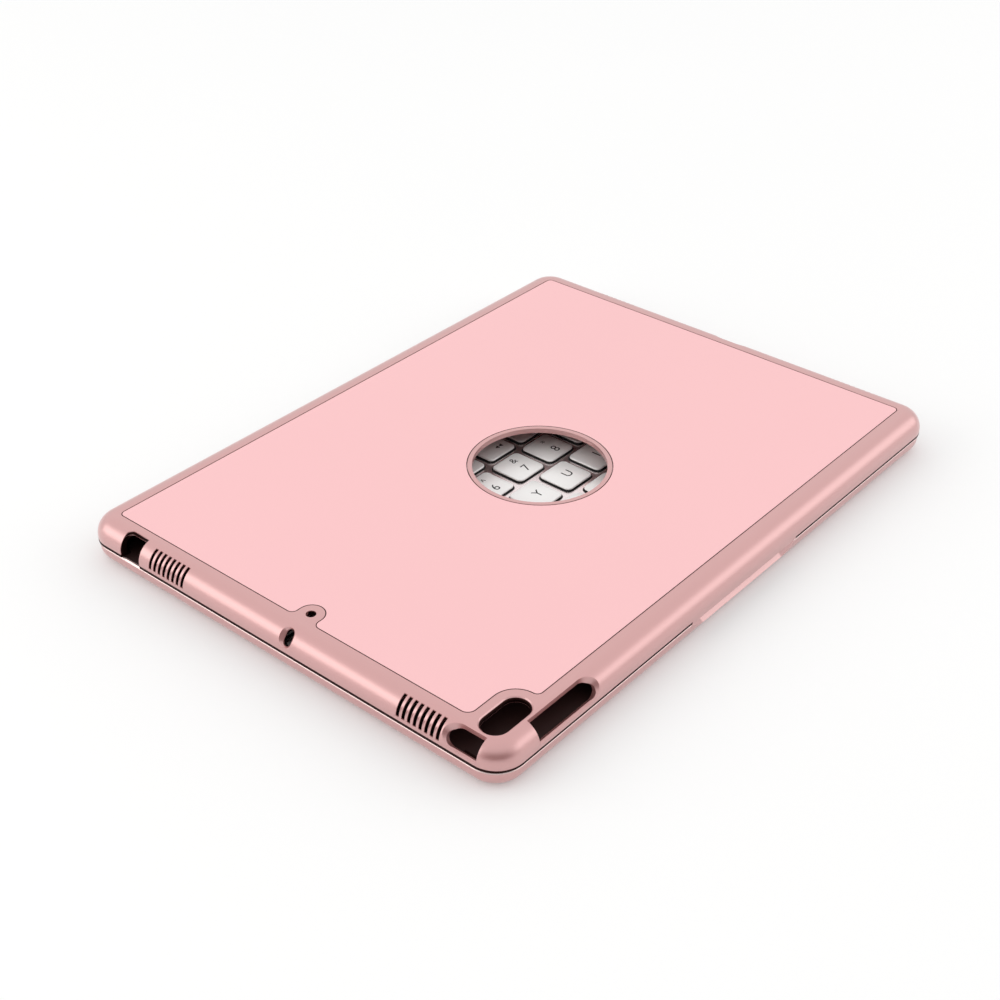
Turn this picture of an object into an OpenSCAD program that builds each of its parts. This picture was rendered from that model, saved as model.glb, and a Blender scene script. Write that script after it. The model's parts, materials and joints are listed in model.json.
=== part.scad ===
// Keyboard case for a slim tablet: a lid shell that holds the tablet, hinged along
// its back edge to a thin wireless keyboard base. Drawn closed, standing on its feet.
// X runs along the keyboard to the right, Y from the user to the hinge, Z up.

/* [Tablet] */
// Length of the tablet that the lid holds
tablet_w = 250.6; // [244:0.1:262]
// Width of the tablet
tablet_d = 174.1; // [168:0.1:184]
// Thickness of the tablet
tablet_t = 6.1; // [5.5:0.1:8]
// Corner radius of the tablet, seen from the front
tablet_corner_r = 8; // [7.5:0.1:9.5]
// Rounding of the tablet's back edge
tablet_edge_r = 4.5; // [3.5:0.1:5]
// Clearance between the tablet and the lid on each side
tablet_fit = 0.15; // [0.1:0.05:0.3]

/* [Lid] */
// Side wall of the lid beside the tablet
side_wall = 2.55; // [2.3:0.05:3.5]
// Depth of the hinge zone behind the tablet
hinge_zone = 13.05; // [12.5:0.05:18]
// Corner radius of the case, seen from above
case_corner_r = 10.5; // [9:0.1:13]
// Rounding of the lid's top edge
lid_edge_r = 7; // [6.5:0.1:7.5]
// Height of the rim that stands below the tablet's glass
lip_h = 0.7; // [0.6:0.05:1.2]
// Skin of the lid between the tablet's pads and the back plate
skin_t = 0.95; // [0.8:0.05:1.4]
// Reach of the corner lips over the tablet's glass
lip_reach = 1.2; // [0.8:0.1:1.6]
// Length of each corner lip along the edges
lip_l = 14; // [10:1:20]
// Width of the gap between the closed lid and the base
lid_gap = 0.4; // [0.3:0.05:0.6]

/* [Back plate] */
// Length of the back plate
plate_w = 238; // [230:0.5:240]
// Width of the back plate
plate_d = 171.5; // [165:0.5:173]
// Thickness of the back plate
plate_t = 0.8; // [0.5:0.05:1]
// Thickness of the adhesive sheet under the back plate
adhesive_t = 0.15; // [0.1:0.05:0.2]
// Seam between the back plate and the lid
plate_gap = 0.25; // [0.15:0.05:0.4]
// Corner radius of the back plate
plate_corner_r = 2; // [1:0.1:4]
// Shift of the back plate from the case's middle towards the hinge
plate_shift = 0.25; // [0:0.05:1]

/* [Window and sensors] */
// Radius of the round window
window_r = 24.7; // [15:0.1:30]
// Width of the raised ring round the window
ring_w = 1.65; // [1:0.05:4]
// Camera opening's middle, from the tablet's end
camera_in_x = 13.1; // [11.5:0.1:18]
// Camera opening's middle, from the tablet's side
camera_in_y = 8.55; // [8:0.05:12]
// Length of the camera opening
camera_w = 19.8; // [14:0.1:22]
// Width of the camera opening
camera_d = 10.4; // [8:0.1:11]
// Chamfer round the camera opening
camera_flare = 0.7; // [0.3:0.1:1]
// Band of the lid left standing round the camera opening
camera_band = 3.2; // [2:0.1:4]
// Microphone hole's middle, from the tablet's end
mic_in_x = 9.9; // [8.5:0.1:12]
// Radius of the microphone hole
mic_r = 1.75; // [0.8:0.05:2]
// Radius of the tab round the microphone hole
mic_tab_r = 4.8; // [3.5:0.1:6]

/* [Side openings] */
// Tilt above the horizontal of the openings cut in the rounded edge
port_tilt = 38; // [30:1:45]
// Half height of the throat of the button and port openings
port_r = 2.7; // [2.4:0.1:3]
// Half height of their flared mouth
port_mouth = 5.6; // [5:0.1:6]
// How far the throat sits below the middle of its mouth
port_drop = 0.8; // [0:0.1:1]
// How far the throat runs past the end arc of its mouth
port_reach = 1.6; // [0:0.1:2]
// Volume opening's closed end, from the tablet's end
volume_near = 15.6; // [14:0.1:20]
// Length of the volume opening
volume_l = 28.3; // [20:0.1:32]
// Power opening's square end, from the tablet's middle
power_far = 80.5; // [78:0.05:82]
// Length of the power opening
power_l = 12.7; // [10:0.1:13]
// Length of the charging opening between its end arcs
charge_l = 6.5; // [4:0.1:9]
// Half width of the microphone slot in the end wall
mic_slot_r = 1.5; // [1:0.1:1.8]
// Length of that slot between its end arcs
mic_slot_l = 2.9; // [2:0.1:4]
// Depth of the chamfer round that slot
mic_slot_flare = 1.35; // [0.8:0.05:1.6]
// Headphone opening's middle, from the tablet's middle
jack_y = 76.1; // [72:0.1:77]
// Width of the headphone opening
jack_w = 9.8; // [7:0.1:11]
// How far the headphone opening reaches in from the end face
jack_in = 5.7; // [4:0.1:6.5]
// Speaker group's middle, from the tablet's middle
speaker_y = 57.3; // [50:0.1:58]
// Number of slots in a speaker group
speaker_n = 8; // [3:1:8]
// Pitch of the speaker slots
speaker_pitch = 2.31; // [2:0.01:2.4]
// Width of a speaker slot
speaker_slot_w = 1.3; // [0.8:0.05:1.5]
// How far the speaker slots reach in from the end face
speaker_in = 4.4; // [3:0.1:5]
// Wall left under the speaker slots
speaker_sill = 2.5; // [2:0.1:4]

/* [Keyboard base] */
// Height of the base without its feet
base_h = 6.4; // [6.2:0.1:8]
// Step from the lid's outline in to the base's outline
base_step = 0.4; // [0.2:0.05:0.6]
// Rounding of the base's lower edge
base_edge_r = 4.5; // [3.5:0.1:4.8]
// Chamfer of the base's upper edge
base_chamfer = 0.5; // [0.3:0.05:0.7]
// Thickness of the deck
deck_t = 1.2; // [1:0.05:1.4]
// Depth of the keyboard well below the deck
well_depth = 1.4; // [1.2:0.05:1.6]
// Thickness of the bottom cover
cover_t = 1.2; // [0.8:0.05:1.3]
// Half length of the sloped finger notch at its foot
notch_floor = 24; // [15:0.5:40]
// Half length of the finger notch at its top
notch_top = 32.5; // [20:0.5:50]
// How far the finger notch's slope falls below the deck
notch_h = 3.9; // [2:0.1:4]
// Where the slope meets the deck, in from the front edge
notch_in = 4.4; // [3:0.1:6]
// Height of the rubber feet below the cover
foot_h = 0.8; // [0.5:0.1:1.5]
// Radius of a rubber foot
foot_r = 5; // [3:0.1:7]

/* [Keys] */
// Space between the keys and the case's ends
key_margin = 3.5; // [3.2:0.1:6]
// Palm rest before the first key row, as a share of the case's depth
palm_share = 0.1505; // [0.142:0.0005:0.16]
// Pitch of the key rows, as a share of the case's depth
row_share = 0.09; // [0.087:0.001:0.091]
// Gap between two keys in a row
key_gap = 3; // [2.5:0.1:4]
// Gap between two rows of keys
row_gap = 2.6; // [2.4:0.1:4]
// Clearance between a key and its hole in the deck
key_fit = 0.45; // [0.3:0.05:0.6]
// Travel of a key
key_travel = 1.2; // [0.8:0.1:1.3]
// How far the key tops lie below the deck
key_sink = 0.2; // [0.1:0.05:0.4]
// Height of a key cap
cap_h = 2; // [1.8:0.1:2.1]
// Wall and roof of a key cap
cap_wall = 1; // [0.8:0.05:1.2]
// Corner radius of a key cap
cap_r = 2; // [1:0.1:3]

/* [Hinge] */
// Radius of the hinge barrels
knuckle_r = 3; // [2.8:0.05:3.2]
// Clearance round the barrels
knuckle_fit = 0.3; // [0.2:0.05:0.4]
// Length of the base's barrel, as a share of the case's length
base_knuckle_share = 0.469; // [0.35:0.001:0.5]
// Length of each of the lid's barrels, as a share of the case's length
lid_knuckle_share = 0.156; // [0.12:0.001:0.17]
// Radius of the hinge shafts
shaft_r = 1.5; // [1:0.05:1.6]
// Running clearance between a shaft and its sleeve
shaft_fit = 0.03; // [0.02:0.01:0.06]
// Outer radius of the friction sleeves
sleeve_r = 2; // [1.8:0.05:2.1]
// Thickness of the hinge leaves
leaf_t = 1.2; // [0.8:0.05:1.3]
// Depth of the hinge leaves in front of the axis
leaf_d = 10.2; // [9.8:0.1:10.4]

/* [Electronics] */
// Length of the battery
battery_w = 100; // [60:1:110]
// Thickness of the battery
battery_t = 3; // [2:0.1:3.4]
// Length of the control board
board_w = 46; // [46:1:60]
// Depth of the battery and of the board, as a share of the rear bay's depth
rear_share = 0.83; // [0.75:0.01:0.88]
// Thickness of the control board
board_t = 0.8; // [0.6:0.1:1]
// Travel of the power switch
switch_travel = 2.5; // [1.5:0.1:3]

/* [Hidden] */
$fn = 96;
eps = 0.01;

// Case
case_w = tablet_w + 2 * (tablet_fit + side_wall);
case_d = tablet_d + 2 * tablet_fit + side_wall + hinge_zone;
tablet_x0 = -tablet_w / 2;
tablet_y0 = -case_d / 2 + side_wall + tablet_fit;
tablet_y = tablet_y0 + tablet_d / 2;
bay_w = tablet_w + 2 * tablet_fit;
bay_d = tablet_d + 2 * tablet_fit;
part_shift = -knuckle_r / 2;

// Heights
base_z = foot_h;
deck_z = base_z + base_h;
axis_z = deck_z + lid_gap / 2;
lid_z = deck_z + lid_gap;
glass_z = lid_z + lip_h;
pad_t = 0.25;
pad_w = tablet_w / 5;
pad_d = 8;
bay_top = glass_z + tablet_t + pad_t + 0.05;
seat_z = bay_top + skin_t;
plate_z = seat_z + adhesive_t;
top_z = plate_z + plate_t;
round_z = top_z - lid_edge_r;

// Camera, microphone and their bands
camera_x = tablet_x0 + camera_in_x;
camera_y = tablet_y0 + camera_in_y;
camera_half = (camera_w - camera_d) / 2;
mic_x = tablet_x0 + mic_in_x;
plate_hole_r = window_r + ring_w + plate_gap;
camera_fillet = 3;
front_fillet = 2;
tab_fillet = 2.2;

// Throat and mouth of the side openings
port_in = port_r - port_drop;
port_flare = port_mouth - port_in;
port_deep = lid_edge_r - 2.4;

// Speaker and headphone cuts
cut_over = 2;
jack_fillet = 2.2;

// Base shell
base_w = case_w - 2 * base_step;
base_d = case_d - 2 * base_step;
base_r = case_corner_r - base_step;
cover_rim = 1.6;
cover_gap = 0.15;
cover_w = base_w - 2 * (base_edge_r + cover_rim);
cover_d = base_d - 2 * (base_edge_r + cover_rim);
cover_r = base_r - base_edge_r - cover_rim;
cover_z = base_z + cover_t;
deck_under = deck_z - deck_t;
well_z = deck_z - well_depth;
web_under = well_z - deck_t;

// Key grid
row_units = 14.4;
row_n = 6;
row_pitch = case_d * row_share;
palm_d = case_d * palm_share;
keys_w = case_w - 2 * key_margin;
pitch = (keys_w + key_gap) / row_units;
key_d = row_pitch - row_gap;
keys_x0 = -keys_w / 2;
keys_y0 = -case_d / 2 + palm_d;
keys_d = row_n * row_pitch - row_gap;
cap_top = deck_z - key_sink;
cap_z = cap_top - cap_h;

// Layers under the keys
plate_seat_gap = 0.1;
key_plate_z = cover_z + plate_seat_gap;
key_plate_t = 0.5;
sheet_z = key_plate_z + key_plate_t;
membrane_t = 0.2;
dome_sheet_z = sheet_z + membrane_t;
dome_sheet_t = 0.2;
dome_z = dome_sheet_z + dome_sheet_t;
stem_r = 1.6;
stem_z = cap_z - 0.65;
dome_top = stem_z - key_travel - 0.05;
dome_r = 2.6;
frame_top = cap_z - key_travel - 0.1;
frame_bar = 1.1;
frame_w = 0.69 * key_d;
frame_d = 0.58 * key_d;
rib = 3;
cavity_x = keys_w / 2 + 0.7;
cavity_y0 = keys_y0 - 2.1;
cavity_y1 = keys_y0 + keys_d + 1.9;
seat_y0 = cavity_y0 - rib;
seat_y1 = cavity_y1 + rib;
key_plate_w = cover_w + 1.4;
well_edge = 1.2;
well_r = 3;

// Rear bay for the battery and the board
rear_wall = 6.8;
rear_x = case_w / 2 - 8;
rear_y0 = seat_y1 + 1;
rear_y1 = case_d / 2 - leaf_d - rear_wall;
rear_d = (rear_y1 - rear_y0) * rear_share;
palm_y0 = -case_d / 2 + 9;
palm_y1 = seat_y0 - 1;
board_x1 = rear_x - 1.6;
board_x0 = board_x1 - board_w;
board_d = rear_d;
board_y0 = rear_y0 + 2.5;
board_z = cover_z + 1;
board_top = board_z + board_t;
battery_x1 = board_x0 - 12;
battery_x0 = battery_x1 - battery_w;
battery_d = rear_d;
battery_y0 = rear_y0 + 3;
usb_y = board_y0 + board_d * 0.69;
usb_w = 9;
usb_h = 3.2;
usb_z = cover_z + 0.4;
usb_l = 7.4;
switch_y = board_y0 + board_d * 0.25;
switch_l = 11;
switch_face = base_w / 2;
knob_z = base_z + base_edge_r;
knob_l = 3.6;
knob_h = 1.4;
knob_play = 0.3;
stem_w = 1.8;
stem_h = 0.7;
scoop = 1.1;
scoop_play = 1.7;
ribbon_w = 16;
ribbon_x = board_x0 + 14;
ribbon_t = 0.2;
lens_r = 0.8;
lens_y = board_y0 + board_d - 4;
lens_pitch = 8;
chip_w = 8;
led_h = 1;

// Hinge
axis_y = case_d / 2;
knuckle_gap = 0.3;
base_knuckle = case_w * base_knuckle_share;
lid_knuckle = case_w * lid_knuckle_share;
lid_knuckle_x = base_knuckle / 2 + knuckle_gap;
groove_x = lid_knuckle_x + lid_knuckle + knuckle_gap;
groove_r = knuckle_r + knuckle_fit;
leaf_off = 2.2;
leaf_y = axis_y - leaf_d;
pocket_y0 = tablet_y0 + tablet_d + tablet_fit + 2;
pocket_y1 = axis_y - 3;
pocket_x = groove_x + 11;
pocket_top = axis_z + leaf_off + leaf_t + 2.2;
shut_t = 1.2;
shut_edge = 0.8;
base_pocket_y0 = leaf_y - 1;
base_pocket_y1 = axis_y - 4;
leaf_slot = 0.1;
shaft_in = 15;
shaft_end = 2.1;
sleeve_end = 1.7;
barrel_end = 1.3;

// Small screws
screw_r = 0.8;
head_r = 1.5;
head_h = 0.4;
boss_r = 2.4;
cover_screw_x = cover_w / 2 - 6;
cover_mid_x = (board_x0 + battery_x1) / 2;
cover_screws_at = [
    [-cover_screw_x, palm_y0 + 4], [0, palm_y0 + 4], [cover_screw_x, palm_y0 + 4],
    [-cover_mid_x, rear_y1 - 4], [cover_mid_x, rear_y1 - 4],
    [-cover_screw_x, rear_y1 + 5], [cover_screw_x, rear_y1 + 5]];
leaf_screw_y = leaf_y + 3;
base_leaf_x = [for (k = [-3, -1, 1, 3]) k * base_knuckle / 8];
lid_leaf_x = [for (s = [-1, 1], k = [0.2, 0.8]) s * (lid_knuckle_x + k * lid_knuckle)];
plate_screw_x = [for (k = [-0.435, -0.22, 0, 0.22, 0.435]) k * keys_w];
board_screws_at = [
    [board_x0 + 3, board_y0 + 3], [board_x0 + 3, board_y0 + board_d - 3],
    [board_x1 - 14, board_y0 + 3], [board_x1 - 14, board_y0 + board_d - 3]];
foot_x = cover_w / 2 - foot_r - 12.5;
foot_y = cover_d / 2 - foot_r - 2;
foot_seat = 0.6;

// Keys as [name, row from the front, first unit, units wide]
Q_ROW = ["q", "w", "e", "r", "t", "y", "u", "i", "o", "p"];
A_ROW = ["a", "s", "d", "f", "g", "h", "j", "k", "l"];
Z_ROW = ["z", "x", "c", "v", "b", "n", "m"];
LETTER_KEYS = concat(
    [for (i = [0:len(Q_ROW) - 1]) [str("key_", Q_ROW[i]), 3, 1.4 + i, 1]],
    [for (i = [0:len(A_ROW) - 1]) [str("key_", A_ROW[i]), 2, 1.65 + i, 1]],
    [for (i = [0:len(Z_ROW) - 1]) [str("key_", Z_ROW[i]), 1, 2.15 + i, 1]],
    [["key_space", 0, 4.25, 4.9]]);
NUMBER_KEYS = [for (i = [1:10]) ["digit", 4, i, 1]];
FUNCTION_KEYS = concat(
    [["function", 5, 0, 1.2]],
    [for (i = [0:11]) ["function", 5, 1.2 + i, 1]],
    [["function", 5, 13.2, 1.2]]);
PUNCTUATION_KEYS = [
    ["punct", 4, 0, 1], ["punct", 4, 11, 1], ["punct", 4, 12, 1],
    ["punct", 3, 11.4, 1], ["punct", 3, 12.4, 1], ["punct", 3, 13.4, 1],
    ["punct", 2, 10.65, 1], ["punct", 2, 11.65, 1],
    ["punct", 1, 9.15, 1], ["punct", 1, 10.15, 1], ["punct", 1, 11.15, 1]];
MODIFIER_KEYS = [
    ["modifier", 4, 13, 1.4], ["modifier", 3, 0, 1.4],
    ["modifier", 2, 0, 1.65], ["modifier", 2, 12.65, 1.75],
    ["modifier", 1, 0, 2.15], ["modifier", 1, 12.15, 2.25],
    ["modifier", 0, 0, 1], ["modifier", 0, 1, 1], ["modifier", 0, 2, 1],
    ["modifier", 0, 3, 1.25], ["modifier", 0, 9.15, 1.25], ["modifier", 0, 10.4, 1],
    ["modifier", 0, 11.4, 1], ["modifier", 0, 12.4, 1], ["modifier", 0, 13.4, 1]];
ALL_KEYS = concat(LETTER_KEYS, NUMBER_KEYS, FUNCTION_KEYS, PUNCTUATION_KEYS, MODIFIER_KEYS);

lid_pink = [0.80, 0.62, 0.61];
plate_pink = [0.96, 0.72, 0.74];
key_white = [0.90, 0.89, 0.88];
steel = [0.70, 0.70, 0.72];
brass = [0.78, 0.62, 0.32];
black = [0.10, 0.09, 0.09];
rubber_grey = [0.35, 0.33, 0.33];
board_green = [0.10, 0.35, 0.20];
film_clear = [0.75, 0.80, 0.78];

// ---- shared shapes ----

// Places the case's middle so that the hinge barrels count in the overall box
module placed() {
    translate([0, part_shift, 0])
        children();
}

// Flat rectangle with round corners, centred
module round_rect(w, d, r) {
    square([w - 2 * r, d], center = true);
    square([w, d - 2 * r], center = true);
    for (x = [-1, 1], y = [-1, 1])
        translate([x * (w / 2 - r), y * (d / 2 - r)])
            circle(r);
}

// Edge section of a slab: r out from the corner's axis, h high, upper edge rounded by e
module edge_section(r, h, e) {
    square([r, h - e]);
    square([r - e, h]);
    intersection() {
        translate([r - e, h - e])
            circle(e);
        translate([r - e - eps, h - e - eps])
            square(e + 2 * eps);
    }
}

// Slab with round corners in plan and a rounded upper edge
module soft_slab(w, d, h, r, e) {
    cx = w / 2 - r;
    cy = d / 2 - r;
    translate([-cx, -cy, 0])
        cube([2 * cx, 2 * cy, h]);
    for (s = [0, 1]) {
        rotate(s * 180) {
            translate([cx, cy, 0])
                rotate([90, 0, 0])
                    linear_extrude(2 * cy)
                        edge_section(r, h, e);
            translate([-cx, cy, 0])
                rotate([90, 0, 90])
                    linear_extrude(2 * cx)
                        edge_section(r, h, e);
            translate([cx, cy, 0])
                rotate_extrude(angle = 90)
                    edge_section(r, h, e);
            translate([-cx, cy, 0])
                rotate(90)
                    rotate_extrude(angle = 90)
                        edge_section(r, h, e);
        }
    }
}

// Section across an opening whose mouth widens at 45 degrees; the surface is at y = 0
module flare_section(r, flare, depth) {
    polygon([[-r, -depth], [r, -depth], [r, -flare], [r + flare + cut_over, cut_over],
             [-r - flare - cut_over, cut_over], [-r, -flare]]);
}

// Opening along X with a flared mouth facing +Z, and a round end at each end asked for
module flared_slot(length, r, flare, depth, ends) {
    translate([-length / 2, 0, 0])
        rotate([90, 0, 90])
            linear_extrude(length)
                flare_section(r, flare, depth);
    for (s = ends)
        translate([s * length / 2, 0, 0])
            rotate_extrude()
                intersection() {
                    flare_section(r, flare, depth);
                    translate([0, -depth])
                        square([r + flare + cut_over, depth + cut_over]);
                }
}

// Port opening: a flared mouth over a throat that is set down towards down * Y
module port_slot(length, down, ends) {
    low = -length / 2 - (min(ends) < 0 ? port_reach : 0);
    high = length / 2 + (max(ends) > 0 ? port_reach : 0);
    flared_slot(length, port_in, port_flare, port_deep, ends);
    translate([0, down * port_drop, -port_deep]) {
        translate([low, -port_r, 0])
            cube([high - low, 2 * port_r, port_deep + cut_over]);
        for (s = ends)
            translate([s < 0 ? low : high, 0, 0])
                cylinder(h = port_deep + cut_over, r = port_r);
    }
}

// Turns a cutter that faces +Z out through the rounded edge at -Y, centred on x
module at_front_edge(x) {
    translate([x, -case_d / 2 + lid_edge_r, round_z])
        rotate([90 - port_tilt, 0, 0])
            translate([0, 0, lid_edge_r])
                children();
}

// The same at the end face, side = -1 for the left end and 1 for the right
module at_end_edge(side, y) {
    translate([side * (case_w / 2 - lid_edge_r), y, round_z])
        rotate([0, side * (90 - port_tilt), 0])
            translate([0, 0, lid_edge_r])
                rotate(90)
                    children();
}

// Corner left between a round of radius r and its square corner at the origin
module corner_fill(r, sx, sy) {
    off_x = sx > 0 ? 0 : -r;
    off_y = sy > 0 ? 0 : -r;
    difference() {
        translate([off_x, off_y])
            square(r);
        translate([sx * r, sy * r])
            circle(r);
    }
}

// ---- outlines in the lid ----

// Parts of the lid that stand inside the back plate's outline, grown by g
module plate_islands(g) {
    camera_r = camera_d / 2 + camera_band + g;
    right = camera_x + camera_half;
    left = -plate_w / 2 + g;
    front = plate_shift - plate_d / 2 + g;
    tab = mic_tab_r + g;
    far = 20;
    translate([0, tablet_y])
        circle(window_r + ring_w + plate_gap + g);
    translate([right, camera_y])
        circle(camera_r);
    translate([left - far, front - far])
        square([right - left + far, camera_y + camera_r - front + far]);
    translate([right - eps, front - far])
        square([camera_r + eps, camera_y - front + far]);
    translate([left, camera_y + camera_r])
        corner_fill(camera_fillet - g, 1, 1);
    translate([right + camera_r, front])
        corner_fill(front_fillet - g, 1, 1);
    translate([mic_x, tablet_y])
        circle(tab);
    translate([left - far, tablet_y - tab])
        square([mic_x - left + far, 2 * tab]);
    translate([left, tablet_y + tab])
        corner_fill(tab_fillet - g, 1, 1);
    translate([left, tablet_y - tab])
        corner_fill(tab_fillet - g, 1, -1);
}

// Outline of the back plate, grown by g on every edge
module plate_outline(g) {
    difference() {
        translate([0, plate_shift])
            round_rect(plate_w + 2 * g, plate_d + 2 * g, plate_corner_r + g);
        plate_islands(-g);
    }
}

// Rim opening under the glass, with a lip left in each corner
module rim_outline() {
    difference() {
        round_rect(bay_w, bay_d, tablet_corner_r);
        difference() {
            for (x = [-1, 1], y = [-1, 1])
                translate([x * bay_w / 2, y * bay_d / 2])
                    square(2 * lip_l, center = true);
            round_rect(bay_w - 2 * lip_reach, bay_d - 2 * lip_reach, tablet_corner_r - lip_reach);
        }
    }
}

// ---- lid ----

module camera_cut() {
    translate([camera_x, camera_y, top_z])
        flared_slot(2 * camera_half, camera_d / 2 - camera_flare, camera_flare,
                    top_z - bay_top + 1, [-1, 1]);
}

module volume_cut() {
    straight = volume_l - port_r - port_reach;
    at_front_edge(tablet_x0 + volume_near + straight / 2)
        port_slot(straight, -1, [1]);
}

module power_cut() {
    straight = power_l - port_r - port_reach;
    at_end_edge(-1, tablet_y - power_far + straight / 2)
        port_slot(straight, 1, [1]);
}

module charge_cut() {
    at_end_edge(1, tablet_y)
        port_slot(charge_l, -1, [-1, 1]);
}

module mic_slot_cut() {
    at_end_edge(-1, tablet_y)
        rotate(90)
            flared_slot(mic_slot_l, mic_slot_r, mic_slot_flare, lid_edge_r - 2, [-1, 1]);
}

module speaker_cuts(side) {
    slot_z = lid_z + speaker_sill;
    for (s = [-1, 1], i = [0:speaker_n - 1])
        translate([side * (case_w / 2 - speaker_in / 2 + cut_over / 2),
                   tablet_y + s * speaker_y + (i - (speaker_n - 1) / 2) * speaker_pitch,
                   (slot_z + top_z) / 2 + 1])
            cube([speaker_in + cut_over, speaker_slot_w, top_z - slot_z + 2], center = true);
}

module jack_cut() {
    inner = -case_w / 2 + jack_in;
    rear = tablet_y + jack_y + jack_w / 2;
    translate([0, 0, lid_z - 1])
        linear_extrude(top_z - lid_z + 2)
            difference() {
                translate([-case_w / 2 - cut_over, rear - jack_w])
                    square([jack_in + cut_over, jack_w]);
                translate([inner, rear])
                    corner_fill(jack_fillet, -1, -1);
            }
}

module bay_cut() {
    translate([0, tablet_y, glass_z])
        soft_slab(bay_w, bay_d, bay_top - glass_z, tablet_corner_r, tablet_edge_r);
    translate([0, tablet_y, lid_z - 1])
        linear_extrude(lip_h + 1 + eps)
            rim_outline();
}

module hinge_pocket_cut() {
    translate([-pocket_x, pocket_y0, lid_z - 1])
        cube([2 * pocket_x, pocket_y1 - pocket_y0, pocket_top - lid_z + 1]);
    translate([-pocket_x - shut_edge, pocket_y0 - shut_edge, lid_z - 1])
        cube([2 * (pocket_x + shut_edge), pocket_y1 - pocket_y0 + 2 * shut_edge, shut_t + 1]);
}

module groove(r) {
    translate([-groove_x, axis_y, axis_z])
        rotate([0, 90, 0])
            cylinder(h = 2 * groove_x, r = r);
}

module lid_leaf_slots() {
    for (s = [-1, 1])
        translate([s * (lid_knuckle_x + lid_knuckle / 2), pocket_y1, axis_z + leaf_off + leaf_t / 2])
            cube([lid_knuckle + 2 * leaf_slot, 8, leaf_t + 2 * leaf_slot], center = true);
}

module lid_screw_bosses() {
    for (x = lid_leaf_x)
        translate([x, leaf_screw_y, axis_z + leaf_off + leaf_t])
            cylinder(h = pocket_top - axis_z - leaf_off - leaf_t + eps, r = boss_r);
}

module lid_shell() {
    color(lid_pink) placed() {
        difference() {
            translate([0, 0, lid_z])
                soft_slab(case_w, case_d, top_z - lid_z, case_corner_r, lid_edge_r);
            bay_cut();
            difference() {
                hinge_pocket_cut();
                lid_screw_bosses();
            }
            translate([0, 0, seat_z])
                linear_extrude(top_z - seat_z + 1)
                    plate_outline(plate_gap);
            translate([0, tablet_y, bay_top - 1])
                cylinder(h = top_z - bay_top + 2, r = window_r);
            translate([mic_x, tablet_y, bay_top - 1])
                cylinder(h = top_z - bay_top + 2, r = mic_r);
            camera_cut();
            volume_cut();
            power_cut();
            charge_cut();
            mic_slot_cut();
            speaker_cuts(-1);
            speaker_cuts(1);
            jack_cut();
            groove(groove_r);
            lid_leaf_slots();
            for (x = lid_leaf_x)
                translate([x, leaf_screw_y, axis_z + leaf_off])
                    cylinder(h = leaf_t + 2, r = screw_r);
        }
    }
}

module back_plate() {
    color(plate_pink) placed()
        translate([0, 0, plate_z])
            linear_extrude(plate_t)
                plate_outline(0);
}

module plate_adhesive() {
    color(film_clear) placed()
        translate([0, 0, seat_z])
            linear_extrude(adhesive_t)
                plate_outline(-1);
}

module bay_pads() {
    color(rubber_grey) placed()
        for (x = [-1, 1], y = [-1, 1])
            translate([x * tablet_w / 4, tablet_y + y * (tablet_d / 2 - 3 * pad_d), bay_top - pad_t])
                linear_extrude(pad_t)
                    round_rect(pad_w, pad_d, pad_d / 4);
}

module hinge_shutter() {
    color(lid_pink) placed()
        difference() {
            translate([-pocket_x - shut_edge + 0.1, pocket_y0 - shut_edge + 0.1, lid_z])
                cube([2 * (pocket_x + shut_edge - 0.1),
                      pocket_y1 - pocket_y0 + 2 * (shut_edge - 0.1), shut_t]);
            groove(groove_r);
        }
}

// Section of a leaf and its web, from the hinge axis, for the half above the axis
module leaf_section() {
    difference() {
        polygon([[-leaf_d, leaf_off], [-leaf_off - 0.1, leaf_off], [0, 0],
                 [0, knuckle_r], [-0.8, leaf_off + leaf_t], [-leaf_d, leaf_off + leaf_t]]);
        circle(knuckle_r - 0.2);
    }
}

module barrel(length, bore_r, bore_from, bore_to) {
    rotate([0, 90, 0])
        difference() {
            cylinder(h = length, r = knuckle_r);
            translate([0, 0, bore_from])
                cylinder(h = bore_to - bore_from, r = bore_r);
        }
}

module screw_shaft(h) {
    cylinder(h = h, r = screw_r);
    translate([0, 0, -head_h])
        cylinder(h = head_h, r = head_r);
}

module lid_hinge_leaves() {
    color(steel) placed()
        for (s = [0, 1])
            mirror([s, 0, 0])
                difference() {
                    translate([lid_knuckle_x, axis_y, axis_z]) {
                        barrel(lid_knuckle, sleeve_r, -1, lid_knuckle - barrel_end);
                        rotate([90, 0, 90])
                            linear_extrude(lid_knuckle)
                                leaf_section();
                    }
                    for (k = [0.2, 0.8])
                        translate([lid_knuckle_x + k * lid_knuckle, leaf_screw_y, axis_z + leaf_off - 1])
                            cylinder(h = leaf_t + 2, r = screw_r);
                }
}

module friction_sleeves() {
    color(brass) placed()
        for (s = [0, 1])
            mirror([s, 0, 0])
                translate([lid_knuckle_x + 0.3, axis_y, axis_z])
                    rotate([0, 90, 0])
                        difference() {
                            cylinder(h = lid_knuckle - sleeve_end - 0.3, r = sleeve_r);
                            translate([0, 0, -1])
                                cylinder(h = lid_knuckle, r = shaft_r + shaft_fit);
                        }
}

module lid_leaf_screws() {
    color(steel) placed()
        for (x = lid_leaf_x)
            translate([x, leaf_screw_y, axis_z + leaf_off])
                screw_shaft(leaf_t + 2);
}

// ---- base ----

// Base block: the rounded lower edge, a short upright wall and a chamfered upper edge
module base_block() {
    straight = base_h - base_chamfer;
    translate([0, 0, base_z + straight])
        mirror([0, 0, 1])
            soft_slab(base_w, base_d, straight, base_r, base_edge_r);
    translate([0, 0, base_z + straight])
        chamfer_slab(base_w, base_d, base_chamfer, base_r);
}

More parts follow.
